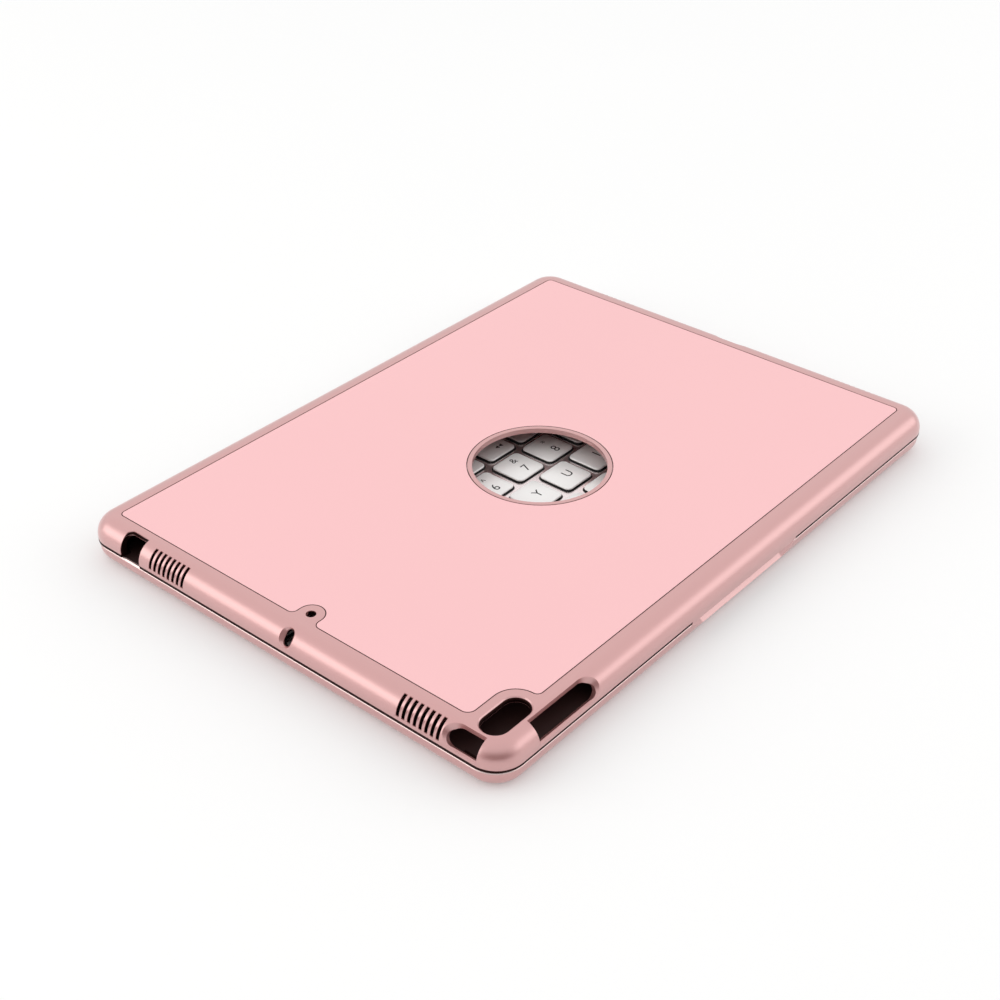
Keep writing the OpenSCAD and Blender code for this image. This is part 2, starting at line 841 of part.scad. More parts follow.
// Slab whose edge slopes in at 45 degrees over its whole height
module chamfer_slab(w, d, h, r) {
    cx = w / 2 - r;
    cy = d / 2 - r;
    section = [[0, 0], [r, 0], [r - h, h], [0, h]];
    translate([-cx, -cy, 0])
        cube([2 * cx, 2 * cy, h]);
    for (s = [0, 1]) {
        rotate(s * 180) {
            translate([cx, cy, 0])
                rotate([90, 0, 0])
                    linear_extrude(2 * cy)
                        polygon(section);
            translate([-cx, cy, 0])
                rotate([90, 0, 90])
                    linear_extrude(2 * cx)
                        polygon(section);
            translate([cx, cy, 0])
                rotate_extrude(angle = 90)
                    polygon(section);
            translate([-cx, cy, 0])
                rotate(90)
                    rotate_extrude(angle = 90)
                        polygon(section);
        }
    }
}

function key_x(k) = keys_x0 + k[2] * pitch + key_w(k) / 2;
function key_w(k) = k[3] * pitch - key_gap;
function key_y(k) = keys_y0 + k[1] * row_pitch + key_d / 2;

module key_holes() {
    for (k = ALL_KEYS)
        translate([key_x(k), key_y(k), web_under - 1])
            linear_extrude(deck_t + 2)
                round_rect(key_w(k) + 2 * key_fit, key_d + 2 * key_fit, cap_r + key_fit);
}

// Space above the plane that closes the finger notch at one end
module notch_end(side) {
    run = notch_top - notch_floor;
    deep = notch_in - base_step;
    face = [-side * deep * notch_h, -run * notch_h, run * deep];
    reach = 3 * notch_top;
    translate([side * notch_top, -case_d / 2 + base_step, deck_z])
        rotate([0, acos(face[2] / norm(face)), atan2(face[1], face[0])])
            translate([-reach, -reach, 0])
                cube([2 * reach, 2 * reach, reach]);
}

module notch_cut() {
    rise = notch_h / (notch_in - base_step);
    front = -case_d / 2 - cut_over;
    foot = deck_z - notch_h - rise * (cut_over + base_step);
    intersection() {
        translate([-notch_top - 1, 0, 0])
            rotate([90, 0, 90])
                linear_extrude(2 * notch_top + 2)
                    polygon([[front, foot], [-case_d / 2 + notch_in + 1 / rise, deck_z + 1],
                             [front, deck_z + 1]]);
        notch_end(-1);
        notch_end(1);
    }
}

module base_cavities() {
    translate([0, 0, base_z - 1])
        linear_extrude(cover_t + 1 + eps)
            round_rect(cover_w + 2 * cover_gap, cover_d + 2 * cover_gap, cover_r + cover_gap);
    translate([-cavity_x, cavity_y0, sheet_z - eps])
        cube([2 * cavity_x, cavity_y1 - cavity_y0, web_under - sheet_z + eps]);
    translate([-key_plate_w / 2 - 0.2, seat_y0 - 0.2, cover_z - eps])
        cube([key_plate_w + 0.4, seat_y1 - seat_y0 + 0.4, sheet_z - cover_z + eps]);
    translate([0, keys_y0 + keys_d / 2, well_z])
        linear_extrude(well_depth + 1)
            round_rect(keys_w + 2 * well_edge, keys_d + 2 * well_edge, well_r);
    difference() {
        translate([-rear_x, palm_y0, cover_z - eps])
            cube([2 * rear_x, palm_y1 - palm_y0, deck_under - cover_z + eps]);
        cover_bosses();
    }
    difference() {
        translate([-rear_x, rear_y0, cover_z - eps])
            cube([2 * rear_x, rear_y1 - rear_y0, deck_under - cover_z + eps]);
        cover_bosses();
        board_posts();
    }
    translate([-base_knuckle / 2 - 1, base_pocket_y0, cover_z - eps])
        cube([base_knuckle + 2, base_pocket_y1 - base_pocket_y0, axis_z - leaf_off - cover_z + eps]);
    translate([-base_knuckle / 2 - leaf_slot, base_pocket_y1 - 1, axis_z - leaf_off - leaf_t - leaf_slot])
        cube([base_knuckle + 2 * leaf_slot, 6, leaf_t + leaf_slot]);
    translate([ribbon_x, cavity_y1 - 1, sheet_z - eps])
        cube([ribbon_w + 0.6, rear_y0 - cavity_y1 + 2, 0.6]);
}

module cover_bosses() {
    for (p = cover_screws_at)
        translate([p[0], p[1], cover_z - 1])
            cylinder(h = deck_under - cover_z + 1 + eps, r = boss_r);
}

module board_posts() {
    for (p = board_screws_at)
        translate([p[0], p[1], board_top])
            cylinder(h = deck_under - board_top + eps, r = boss_r);
}

module base_side_cuts() {
    translate([rear_x - 1, usb_y - usb_w / 2 - 0.1, usb_z - 0.1])
        cube([case_w / 2 - rear_x + 3, usb_w + 0.2, usb_h + 0.2]);
    translate([rear_x - 1, switch_y - stem_w / 2 - knob_play, knob_z - stem_h / 2 - knob_play])
        cube([case_w / 2 - rear_x + 3, stem_w + switch_travel + 2 * knob_play, stem_h + 2 * knob_play]);
    translate([switch_face - scoop, switch_y - knob_l / 2 - scoop_play, knob_z - knob_h / 2 - knob_play])
        cube([3, knob_l + switch_travel + 2 * scoop_play, knob_h + 2 * knob_play]);
}

module screw_holes() {
    for (p = cover_screws_at)
        translate([p[0], p[1], cover_z - eps])
            cylinder(h = deck_under - cover_z, r = screw_r);
    for (p = board_screws_at)
        translate([p[0], p[1], board_top - eps])
            cylinder(h = deck_under - board_top, r = screw_r);
    for (x = base_leaf_x)
        translate([x, leaf_screw_y, axis_z - leaf_off - eps])
            cylinder(h = 1.2, r = screw_r);
    for (x = plate_screw_x, y = [seat_y0 + rib / 2, seat_y1 - rib / 2])
        translate([x, y, sheet_z - eps])
            cylinder(h = 2, r = screw_r);
}

module base_case() {
    color(lid_pink) placed()
        difference() {
            base_block();
            base_cavities();
            key_holes();
            notch_cut();
            base_side_cuts();
            groove(groove_r);
            screw_holes();
            for (i = [0:2])
                translate([lens_x(i), lens_y, deck_under - 1])
                    cylinder(h = deck_t + 2, r = lens_r);
            bumper_seats(0);
        }
}

function lens_x(i) = board_x0 + lens_pitch * (i + 1);

bumper_r = 1;
bumper_seat = 0.6;
bumper_proud = 0.3;
bumper_x = keys_w * 0.32;
bumper_y0 = -base_d / 2 + base_chamfer + bumper_r + 0.1;

module bumper_seats(over) {
    for (s = [-1, 1]) {
        translate([s * bumper_x, bumper_y0, deck_z - bumper_seat])
            cylinder(h = bumper_seat + (over > 0 ? over : 1), r = bumper_r);
        translate([s * (pocket_x + 6.4), axis_y - 7, deck_z - bumper_seat])
            cylinder(h = bumper_seat + (over > 0 ? over : 1), r = bumper_r);
    }
}

module rim_bumpers() {
    color(rubber_grey) placed()
        bumper_seats(bumper_proud);
}

module bottom_cover() {
    color(lid_pink) placed()
        difference() {
            translate([0, 0, base_z])
                linear_extrude(cover_t)
                    round_rect(cover_w, cover_d, cover_r);
            for (x = [-1, 1], y = [-1, 1])
                translate([x * foot_x, y * foot_y, base_z - 1])
                    cylinder(h = foot_seat + 1, r = foot_r);
            for (p = cover_screws_at)
                translate([p[0], p[1], base_z - 1]) {
                    cylinder(h = cover_t + 2, r = screw_r);
                    cylinder(h = head_h + 1, r = head_r);
                }
        }
}

module rubber_feet() {
    color(rubber_grey) placed()
        for (x = [-1, 1], y = [-1, 1])
            translate([x * foot_x, y * foot_y, 0])
                cylinder(h = foot_h + foot_seat, r = foot_r);
}

module cover_screws() {
    color(steel) placed()
        for (p = cover_screws_at)
            translate([p[0], p[1], base_z + head_h])
                screw_shaft(deck_under - base_z - head_h - 0.4);
}

module inner_screws() {
    color(steel) placed() {
        for (p = board_screws_at)
            translate([p[0], p[1], board_z])
                screw_shaft(board_t + 1.6);
        for (x = base_leaf_x)
            translate([x, leaf_screw_y, axis_z - leaf_off - leaf_t])
                screw_shaft(leaf_t + 1.1);
        for (x = plate_screw_x, y = [seat_y0 + rib / 2, seat_y1 - rib / 2])
            translate([x, y, key_plate_z + head_h])
                screw_shaft(key_plate_t - head_h + 1.6);
    }
}

module key_plate() {
    color(steel) placed()
        difference() {
            translate([-key_plate_w / 2, seat_y0, key_plate_z])
                cube([key_plate_w, seat_y1 - seat_y0, key_plate_t]);
            for (x = plate_screw_x, y = [seat_y0 + rib / 2, seat_y1 - rib / 2])
                translate([x, y, key_plate_z - 1]) {
                    cylinder(h = 3, r = screw_r);
                    cylinder(h = head_h + 1, r = head_r);
                }
        }
}

module contact_membrane() {
    color(film_clear) placed()
        translate([-keys_w / 2, keys_y0 - 1, sheet_z])
            cube([keys_w, keys_d + 2.6, membrane_t]);
}

module dome_sheet() {
    color(film_clear) placed() {
        translate([-keys_w / 2, keys_y0 - 1, dome_sheet_z])
            cube([keys_w, keys_d + 1.4, dome_sheet_t]);
        for (k = ALL_KEYS)
            translate([key_x(k), key_y(k), dome_z - eps])
                cylinder(h = max(dome_top - dome_z, 0.1) + eps, r = dome_r);
    }
}

module scissor_frames() {
    color(key_white) placed()
        for (k = ALL_KEYS)
            translate([key_x(k), key_y(k), dome_z])
                linear_extrude(frame_top - dome_z)
                    difference() {
                        square([frame_w, frame_d], center = true);
                        square([frame_w - 2 * frame_bar, frame_d - 2 * frame_bar], center = true);
                    }
}

module battery() {
    color(steel) placed()
        translate([battery_x0, battery_y0, cover_z])
            cube([battery_w, battery_d, battery_t]);
}

module battery_leads() {
    color("firebrick") placed()
        for (i = [0, 1])
            translate([battery_x1, battery_y0 + 6 + 3 * i, board_z + board_t / 2])
                rotate([0, 90, 0])
                    cylinder(h = board_x0 - battery_x1, r = board_t / 2);
}

module control_board() {
    color(board_green) placed()
        difference() {
            union() {
                translate([board_x0, board_y0, board_z])
                    cube([board_w, board_d, board_t]);
                translate([board_x0 + 2 * chip_w, board_y0 + chip_w, board_top - eps])
                    cube([chip_w, chip_w, led_h]);
                for (i = [0:2])
                    translate([lens_x(i) - 1, lens_y - 1, board_top - eps])
                        cube([2, 2, led_h + eps]);
            }
            translate([rear_x - usb_l - 1, usb_y - usb_w / 2, board_z - 1])
                cube([usb_l + 2, usb_w, board_t + 2]);
            for (p = board_screws_at)
                translate([p[0], p[1], board_z - 1])
                    cylinder(h = board_t + 2, r = screw_r);
        }
}

module ribbon_cable() {
    color(film_clear) placed()
        translate([ribbon_x + 0.3, keys_y0 + keys_d + 0.6, board_z - ribbon_t])
            cube([ribbon_w, board_y0 + 4 - keys_y0 - keys_d - 0.6, ribbon_t]);
}

module usb_socket() {
    color(steel) placed()
        translate([rear_x - usb_l - 1, usb_y, usb_z])
            difference() {
                translate([0, -usb_w / 2, 0])
                    cube([usb_l + 6, usb_w, usb_h]);
                translate([1, -usb_w / 2 + 0.35, 0.35])
                    cube([usb_l + 6, usb_w - 0.7, usb_h - 0.7]);
            }
}

module switch_body() {
    color(black) placed()
        translate([board_x1 - 6, switch_y - switch_l / 2 + switch_travel / 2, board_top])
            cube([6, switch_l, deck_under - board_top - 0.2]);
}

module power_switch() {
    grip_x = switch_face - scoop + 0.2;
    stem_x = board_x1 + 0.2;
    color(black) placed() {
        translate([stem_x, switch_y - stem_w / 2, knob_z - stem_h / 2])
            cube([grip_x - stem_x + eps, stem_w, stem_h]);
        translate([grip_x, switch_y - knob_l / 2, knob_z - knob_h / 2])
            cube([scoop - 0.3, knob_l, knob_h]);
    }
}

module status_lenses() {
    color("white") placed()
        for (i = [0:2])
            translate([lens_x(i), lens_y, board_top + led_h])
                cylinder(h = deck_z - board_top - led_h, r = lens_r);
}

module base_hinge_leaf() {
    color(steel) placed()
        difference() {
            translate([-base_knuckle / 2, axis_y, axis_z]) {
                barrel(base_knuckle, shaft_r, -1, shaft_in);
                mirror([0, 0, 1])
                    rotate([90, 0, 90])
                        linear_extrude(base_knuckle)
                            leaf_section();
            }
            translate([base_knuckle / 2 - shaft_in, axis_y, axis_z])
                rotate([0, 90, 0])
                    cylinder(h = shaft_in + 1, r = shaft_r);
            for (x = base_leaf_x)
                translate([x, leaf_screw_y, axis_z - leaf_off - leaf_t - 1])
                    cylinder(h = leaf_t + 2, r = screw_r);
        }
}

module hinge_shafts() {
    color(steel) placed()
        for (s = [0, 1])
            mirror([s, 0, 0])
                translate([base_knuckle / 2 - shaft_in, axis_y, axis_z])
                    rotate([0, 90, 0])
                        cylinder(h = shaft_in + knuckle_gap + lid_knuckle - shaft_end, r = shaft_r);
}

magnet_x = keys_w * 0.28;
magnet_w = 20;
magnet_d = 4;
magnet_t = 1.8;

module closing_magnets() {
    color(steel) placed()
        for (x = [-1, 1])
            translate([x * magnet_x - magnet_w / 2, palm_y0 + 0.5, deck_under - magnet_t])
                cube([magnet_w, magnet_d, magnet_t]);
}

// ---- keys ----

// Key cap: a hollow cap with a plunger under its middle
module key_cap(k) {
    w = key_w(k);
    color(key_white) placed()
        translate([key_x(k), key_y(k), 0]) {
            translate([0, 0, cap_z])
                difference() {
                    linear_extrude(cap_h)
                        round_rect(w, key_d, cap_r);
                    translate([0, 0, -1])
                        linear_extrude(cap_h - cap_wall + 1)
                            square([w - 2 * cap_wall, key_d - 2 * cap_wall], center = true);
                }
            translate([0, 0, stem_z])
                cylinder(h = cap_top - cap_wall - stem_z + eps, r = stem_r);
        }
}

module number_keys() { for (k = NUMBER_KEYS) key_cap(k); }

module function_keys() { for (k = FUNCTION_KEYS) key_cap(k); }

module punctuation_keys() { for (k = PUNCTUATION_KEYS) key_cap(k); }

module modifier_keys() { for (k = MODIFIER_KEYS) key_cap(k); }

lid_shell();
back_plate();
plate_adhesive();
bay_pads();
hinge_shutter();
lid_hinge_leaves();
friction_sleeves();
lid_leaf_screws();
base_case();
bottom_cover();
rubber_feet();
cover_screws();
inner_screws();
key_plate();
contact_membrane();
dome_sheet();
scissor_frames();
battery();
battery_leads();
control_board();
ribbon_cable();
usb_socket();
switch_body();
power_switch();
status_lenses();
base_hinge_leaf();
hinge_shafts();
closing_magnets();
rim_bumpers();
for (k = LETTER_KEYS)
    key_cap(k);
number_keys();
function_keys();
punctuation_keys();
modifier_keys();
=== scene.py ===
"""Looks of a clamshell keyboard case for a tablet.

The solids of the case come in with the frame. This script gives them their finishes and
replaces the keys, the back plate, the feet, the cover screws and the power slider with
finer pieces that ride on the same bodies. Sizes are in metres unless a comment says
otherwise."""

import json
import math

import bmesh
import bpy
from mathutils import Matrix, Vector


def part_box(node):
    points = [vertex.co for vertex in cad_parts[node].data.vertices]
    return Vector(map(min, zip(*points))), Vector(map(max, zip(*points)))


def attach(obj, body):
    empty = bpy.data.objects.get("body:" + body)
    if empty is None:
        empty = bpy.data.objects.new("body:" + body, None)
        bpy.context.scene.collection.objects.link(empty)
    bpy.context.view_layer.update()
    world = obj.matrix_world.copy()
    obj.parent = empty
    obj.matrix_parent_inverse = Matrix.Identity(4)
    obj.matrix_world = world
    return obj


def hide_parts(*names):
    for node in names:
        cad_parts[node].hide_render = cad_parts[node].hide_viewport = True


bl_info = {
    "name": "Tablet Keyboard Case",
    "version": (1, 0, 0),
    "blender": (4, 5, 0),
    "location": "View3D > Sidebar > Keyboard Case",
    "description": "Finishes the solids of a clamshell keyboard case and adds caps and legends",
    "category": "Object",
}

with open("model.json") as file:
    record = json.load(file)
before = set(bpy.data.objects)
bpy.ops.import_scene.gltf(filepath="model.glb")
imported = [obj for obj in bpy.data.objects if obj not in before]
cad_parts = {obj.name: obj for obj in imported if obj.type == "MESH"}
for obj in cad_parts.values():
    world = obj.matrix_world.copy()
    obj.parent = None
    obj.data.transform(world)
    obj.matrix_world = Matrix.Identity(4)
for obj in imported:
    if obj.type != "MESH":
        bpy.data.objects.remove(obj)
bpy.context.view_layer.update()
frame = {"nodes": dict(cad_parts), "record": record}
MM = 0.001
WELD = 1e-6

# Where the finishes change on the solids, in millimetres
LID_OUTLINE = (128.0, 95.0, 12.0)  # half width, half depth and corner radius
BASE_OUTLINE = (127.6, 94.6, 11.6)
CASE_MIDDLE_Y = -1.5
BAY_MIDDLE_Y = -6.75
WALL_REACH = 7.0  # depth is measured from the lid's outer face down to this
RIM_ROUND_Z = 9.6  # from here up the lid's side rounds over into its back
# Inside the lid's wall and openings a dark colour is painted as shade; these depths say where it
# begins
SHADE_START_DEPTH = 0.30  # lacquer that still wraps into an opening
SLOPED_DEPTH = 2.1  # extra lacquer on the chamfers of the button and plug openings
MICROPHONE_DEPTH = 1.1
WINDOW_RING = 26.9  # radius of the round window, whose edge stays lacquered
BAY_CEILING = (14.60, 14.80)  # heights of the face that carries the back plate
FRONT_WALL_Y = -90.0
LEFT_WALL_X, POWER_WALL_X, RIGHT_WALL_X = -115.0, -121.0, 115.0
VOLUME_KEYS = (-94.0, 17.6)  # openings in the lid's wall: middle and half width
POWER_KEY = (-80.6, 8.2)
CHARGE_PORT = (BAY_MIDDLE_Y, 9.4)
MICROPHONE = (BAY_MIDDLE_Y, 5.2)
FINGER_NOTCH = (0.0, 31.6)
# A dark band painted along the lid's lower rim, as painted shade for the gap above the base
GAP_SHADE_TOP = 8.78
SHADE_FADE = 0.06
GAP_SHADE_DROP = 0.28  # how much lower the painted gap shade ends along the front edge
GAP_SHADE_SLOPE_Y = (-84.0, -95.0)
WELL_X, WELL_Y = (0.0, 123.0), (-15.0, 66.0)
WELL_TOP, WELL_BOTTOM = 6.9, 4.6
DECK_Z = 7.0
# A lighter band painted on the chamfer round the base's upper edge, as a painted highlight
EDGE_HIGHLIGHT_Z = 6.62
EDGE_HIGHLIGHT_WIDTH = 1.0
# Below this a cap's side is painted black, as painted shade in the gap round the key
CAP_SHADE_Z = 6.50  # a cap is black below this

# Axes along which metal can be brushed
ALONG_X, ALONG_Z = 0, 2

# Tones of the plain fittings
SOFT_BLACK = (0.02, 0.02, 0.021)
RUBBER_BLACK = (0.045, 0.040, 0.041)
# Painted shade in the gaps round the keys
GAP_SHADE_BLACK = (0.012, 0.011, 0.011)
# Painted shade on the lower sides of the caps
CAP_SHADE_BLACK = (0.010, 0.009, 0.009)
# Painted shade in the seam round the back plate
SEAM_SHADE_BROWN = (0.11, 0.040, 0.038)
SCREW_STEEL = (0.50, 0.49, 0.48)
CONTACT_GOLD = (0.83, 0.62, 0.28)


# ---------------------------------------------------------------- settings


class CaseFinish(bpy.types.PropertyGroup):
    """Colours of the case, as linear values."""

    shell: bpy.props.FloatVectorProperty(
        name="Shell lacquer", description="Metallic lacquer of the lid shell and the base",
        subtype="COLOR", size=3, min=0, max=1, default=(0.60, 0.250, 0.240))
    plate: bpy.props.FloatVectorProperty(
        name="Back plate", description="Matte anodised back plate",
        subtype="COLOR", size=3, min=0, max=1, default=(0.965, 0.570, 0.583))
    # Lighter colour painted on the base's real upper chamfer, as a painted highlight
    cut: bpy.props.FloatVectorProperty(
        name="Bright edge", description="Painted highlight on the chamfer round the upper edge of the base",
        subtype="COLOR", size=3, min=0, max=1, default=(0.78, 0.585, 0.565))
    cap: bpy.props.FloatVectorProperty(
        name="Key caps", description="Silver-white key caps",
        subtype="COLOR", size=3, min=0, max=1, default=(0.96, 0.945, 0.93))
    legend: bpy.props.FloatVectorProperty(
        name="Legends", description="Ink of the key legends",
        subtype="COLOR", size=3, min=0, max=1, default=(0.012, 0.011, 0.012))
    web: bpy.props.FloatVectorProperty(
        name="Key well", description="Silvery floor of the key well",
        subtype="COLOR", size=3, min=0, max=1, default=(0.90, 0.80, 0.80))
    # Colour of the painted shade inside the lid's wall and openings and on the deck round the key
    # well
    painted_shade: bpy.props.FloatVectorProperty(
        name="Bay shade", description="Painted shade inside the tablet bay",
        subtype="COLOR", size=3, min=0, max=1, default=(0.028, 0.010, 0.009))


class CaseDetail(bpy.types.PropertyGroup):
    """Sizes of the small shapes that finish the case."""

    cap_edge: bpy.props.FloatProperty(
        name="Cap edge", description="Rounding of a key cap's upper edge",
        subtype="DISTANCE", unit="LENGTH", min=0, default=0.35 * MM)
    cap_corner: bpy.props.FloatProperty(
        name="Cap corner", description="Corner radius of a key cap",
        subtype="DISTANCE", unit="LENGTH", min=0, default=2.0 * MM)
    letter_height: bpy.props.FloatProperty(
        name="Letter height", description="Height of a letter or digit on a key",
        subtype="DISTANCE", unit="LENGTH", min=0, default=4.1 * MM)
    symbol_height: bpy.props.FloatProperty(
        name="Symbol height", description="Height of the small symbol above a digit",
        subtype="DISTANCE", unit="LENGTH", min=0, default=3.2 * MM)
    word_height: bpy.props.FloatProperty(
        name="Word height", description="Height of the words on the modifier keys",
        subtype="DISTANCE", unit="LENGTH", min=0, default=2.35 * MM)
    # The dark seam is painted shade in the gap round the back plate
    seam: bpy.props.FloatProperty(
        name="Plate seam", description="Width of the dark seam round the back plate",
        subtype="DISTANCE", unit="LENGTH", min=0, default=0.13 * MM)
    # The dark surround is painted shade in the gap round each key
    key_gap: bpy.props.FloatProperty(
        name="Key surround", description="Width of the dark surround at the foot of each key",
        subtype="DISTANCE", unit="LENGTH", min=0, default=0.55 * MM)
    foot_edge: bpy.props.FloatProperty(
        name="Foot edge", description="Rounding of a rubber foot's lower edge",
        subtype="DISTANCE", unit="LENGTH", min=0, default=0.3 * MM)
    ink: bpy.props.FloatProperty(
        name="Ink thickness", description="Height of the printed ink above a cap",
        subtype="DISTANCE", unit="LENGTH", min=0, default=0.015 * MM)


class CaseStage(bpy.types.PropertyGroup):
    """The camera, the floor and the light."""

    eye: bpy.props.FloatVectorProperty(
        name="Camera place", description="Where the camera stands",
        subtype="TRANSLATION", unit="LENGTH", size=3, default=(-0.38862, -0.31821, 0.33781))
    right: bpy.props.FloatVectorProperty(
        name="Camera right", description="The picture's rightward direction",
        subtype="DIRECTION", size=3, default=(0.64736, -0.76219, -0.00084))
    up: bpy.props.FloatVectorProperty(
        name="Camera up", description="The picture's upward direction",
        subtype="DIRECTION", size=3, default=(0.42767, 0.36232, 0.82814))
    lens: bpy.props.FloatProperty(
        name="Lens", description="Focal length", subtype="DISTANCE_CAMERA", min=1, default=58.667)
    sky: bpy.props.FloatProperty(
        name="Sky", description="Strength of the even studio light", min=0, default=1.0)


def settings():
    """The scene's finish, detail and stage settings."""
    scene = bpy.context.scene
    return scene.case_finish, scene.case_detail, scene.case_stage


# ---------------------------------------------------------------- shader maths


class Wire:
    """A socket or a number that can be used in sums, which add Math nodes."""

    def __init__(self, sheet, value):
        self.sheet = sheet
        self.value = value

    def _with(self, operation, *others):
        return self.sheet.node("ShaderNodeMath", {"operation": operation}, dict(enumerate(others)))

    def __add__(self, other):
        return self._with("ADD", self, other)

    __radd__ = __add__

    def __sub__(self, other):
        return self._with("SUBTRACT", self, other)

    def __rsub__(self, other):
        return self._with("SUBTRACT", other, self)

    def __mul__(self, other):
        return self._with("MULTIPLY", self, other)

    def __abs__(self):
        return self._with("ABSOLUTE", self)

    def __pow__(self, other):
        return self._with("POWER", self, other)

    def most(self, other):
        """The larger of this and another value."""
        return self._with("MAXIMUM", self, other)

    def output(self, name):
        """Another output of the node that this value comes from."""
        return Wire(self.sheet, self.value.node.outputs[name])


class Sheet:
    """A material, built by laying down nodes one call at a time."""

    def __init__(self, name, holder=None):
        self.material = holder or bpy.data.materials.new(name)
        self.material.use_nodes = True
        self.tree = self.material.node_tree
        self.tree.nodes.clear()

    def node(self, kind, settings=None, inputs=None, output=0):
        """Adds a node, applies its settings, then fills or links its sockets."""
        made = self.tree.nodes.new(kind)
        for key, value in (settings or {}).items():
            if key == "stops":
                ramp = made.color_ramp
                while len(ramp.elements) < len(value):
                    ramp.elements.new(0.5)
                for element, (place, level) in zip(ramp.elements, value):
                    element.position = place
                    element.color = (level, level, level, 1)
            else:
                setattr(made, key, value)
        for key, value in (inputs or {}).items():
            socket = made.inputs[key]
            if isinstance(value, Wire):
                value = value.value
            if isinstance(value, bpy.types.NodeSocket):
                self.tree.links.new(value, socket)
            elif hasattr(socket.default_value, "__len__"):
                socket.default_value = [*value, 1.0][:len(socket.default_value)]
            else:
                socket.default_value = value
        return Wire(self, made.outputs[output]) if made.outputs else None

    def place(self):
        """Object coordinates, in metres."""
        return self.node("ShaderNodeTexCoord", output="Object")

    def axes(self):
        """The three object coordinates, in millimetres."""
        split = self.node("ShaderNodeSeparateXYZ", None, {0: self.stretched((1000, 1000, 1000))})
        return split, split.output("Y"), split.output("Z")

    def rise(self, value, start, end):
        """A soft step from 0 at start to 1 at end."""
        return self.node("ShaderNodeMapRange", {"interpolation_type": "SMOOTHSTEP"},
                         {"Value": value, "From Min": start, "From Max": end})

    def stretched(self, scale):
        """Object coordinates, stretched by a factor along each axis."""
        return self.node("ShaderNodeMapping", None, {"Vector": self.place(), "Scale": scale})

    def noise(self, scale, detail=2.0, rough=0.5, where=None):
        """Noise from 0 to 1 whose features are about 1 / scale metres wide."""
        return self.node("ShaderNodeTexNoise", None,
                         {"Vector": where or self.place(), "Scale": scale, "Detail": detail,
                          "Roughness": rough})

    def ramp(self, value, stops):
        """A grey ramp, from pairs of a place and a level."""
        return self.node("ShaderNodeValToRGB", {"stops": stops}, {"Fac": value})

    def blend(self, factor, first, second):
        """Mixes two colours."""
        return self.node("ShaderNodeMix", {"data_type": "RGBA"},
                         {0: factor, 6: first, 7: second}, output=2)

    def bump(self, height, depth, under=None):
        """A bump of a given depth in metres, on top of another one if that is given."""
        sockets = {"Height": height, "Distance": depth, "Strength": 1.0}
        if under is not None:
            sockets["Normal"] = under
        return self.node("ShaderNodeBump", None, sockets)

    def finish(self, **sockets):
        """Ends the material in a Principled shader, with sockets named as keywords."""
        named = {key.replace("_", " "): value for key, value in sockets.items()}
        shader = self.node("ShaderNodeBsdfPrincipled", None, named, output="BSDF")
        self.node("ShaderNodeOutputMaterial", None, {"Surface": shader})
        return self.material


def shade(colour, factor):
    """A colour made darker or lighter, as a list."""
    return [min(1.0, channel * factor) for channel in colour]


# ---------------------------------------------------------------- finishes


def inset_of(x, y, outline):
    """How far a point lies inside a rounded rectangle, up to its corner radius."""
    half_w, half_d, corner = outline
    across = (abs(x) - (half_w - corner)).most(0.0)
    along = (abs(y - CASE_MIDDLE_Y) - (half_d - corner)).most(0.0)
    return corner - (across * across + along * along) ** 0.5


def past(s, distance, fade=0.2):
    """1 where a distance is above zero, after a short fade."""
    return s.rise(distance, 0.0, fade)


def within(s, value, span, fade=0.4):
    """1 within a span, given as its middle and its half width, fading out at its ends."""
    middle, reach = span
    return s.rise(abs(value - middle), reach, reach - fade)


def lid_interior(s):
    """1 where shade is painted on the lid: a dark colour inside its wall and in its openings, and a
    dark band along its lower rim for the shaded gap above the base.
    """
    x, y, z = s.axes()
    bend = (WALL_REACH - inset_of(x, y, LID_OUTLINE)).most(0.0)
    lift = (z - RIM_ROUND_Z).most(0.0)
    depth = WALL_REACH - (bend * bend + lift * lift) ** 0.5
    off = y - BAY_MIDDLE_Y
    window = (x * x + off * off) ** 0.5
    front = past(s, FRONT_WALL_Y - y)
    volume = front * within(s, x, VOLUME_KEYS)
    power = past(s, POWER_WALL_X - x) * within(s, y, POWER_KEY)
    charge = past(s, x - RIGHT_WALL_X) * within(s, y, CHARGE_PORT)
    microphone = past(s, LEFT_WALL_X - x) * within(s, y, MICROPHONE, 0.2)
    start = (volume.most(power).most(charge) * SLOPED_DEPTH + microphone * MICROPHONE_DEPTH
             + SHADE_START_DEPTH)
    low, high = BAY_CEILING
    ceiling = s.rise(z, low, low + SHADE_FADE) * s.rise(z, high, high - SHADE_FADE)
    # Painted shade: the dark colour inside the lid's wall and openings, except on the bay's ceiling
    # and round the window
    painted_shade = past(s, depth - start, 0.1) * past(s, window - WINDOW_RING, 0.1) * (1.0 - ceiling)
    notch = front * within(s, x, FINGER_NOTCH)
    # Painted shade: a dark band along the lid's lower rim for the shaded gap above the base, left
    # out at the finger notch
    drop = s.rise(y, *GAP_SHADE_SLOPE_Y) * GAP_SHADE_DROP
    gap_shade = s.rise(z + drop, GAP_SHADE_TOP, GAP_SHADE_TOP - SHADE_FADE) * (1.0 - notch)
    return painted_shade.most(gap_shade)


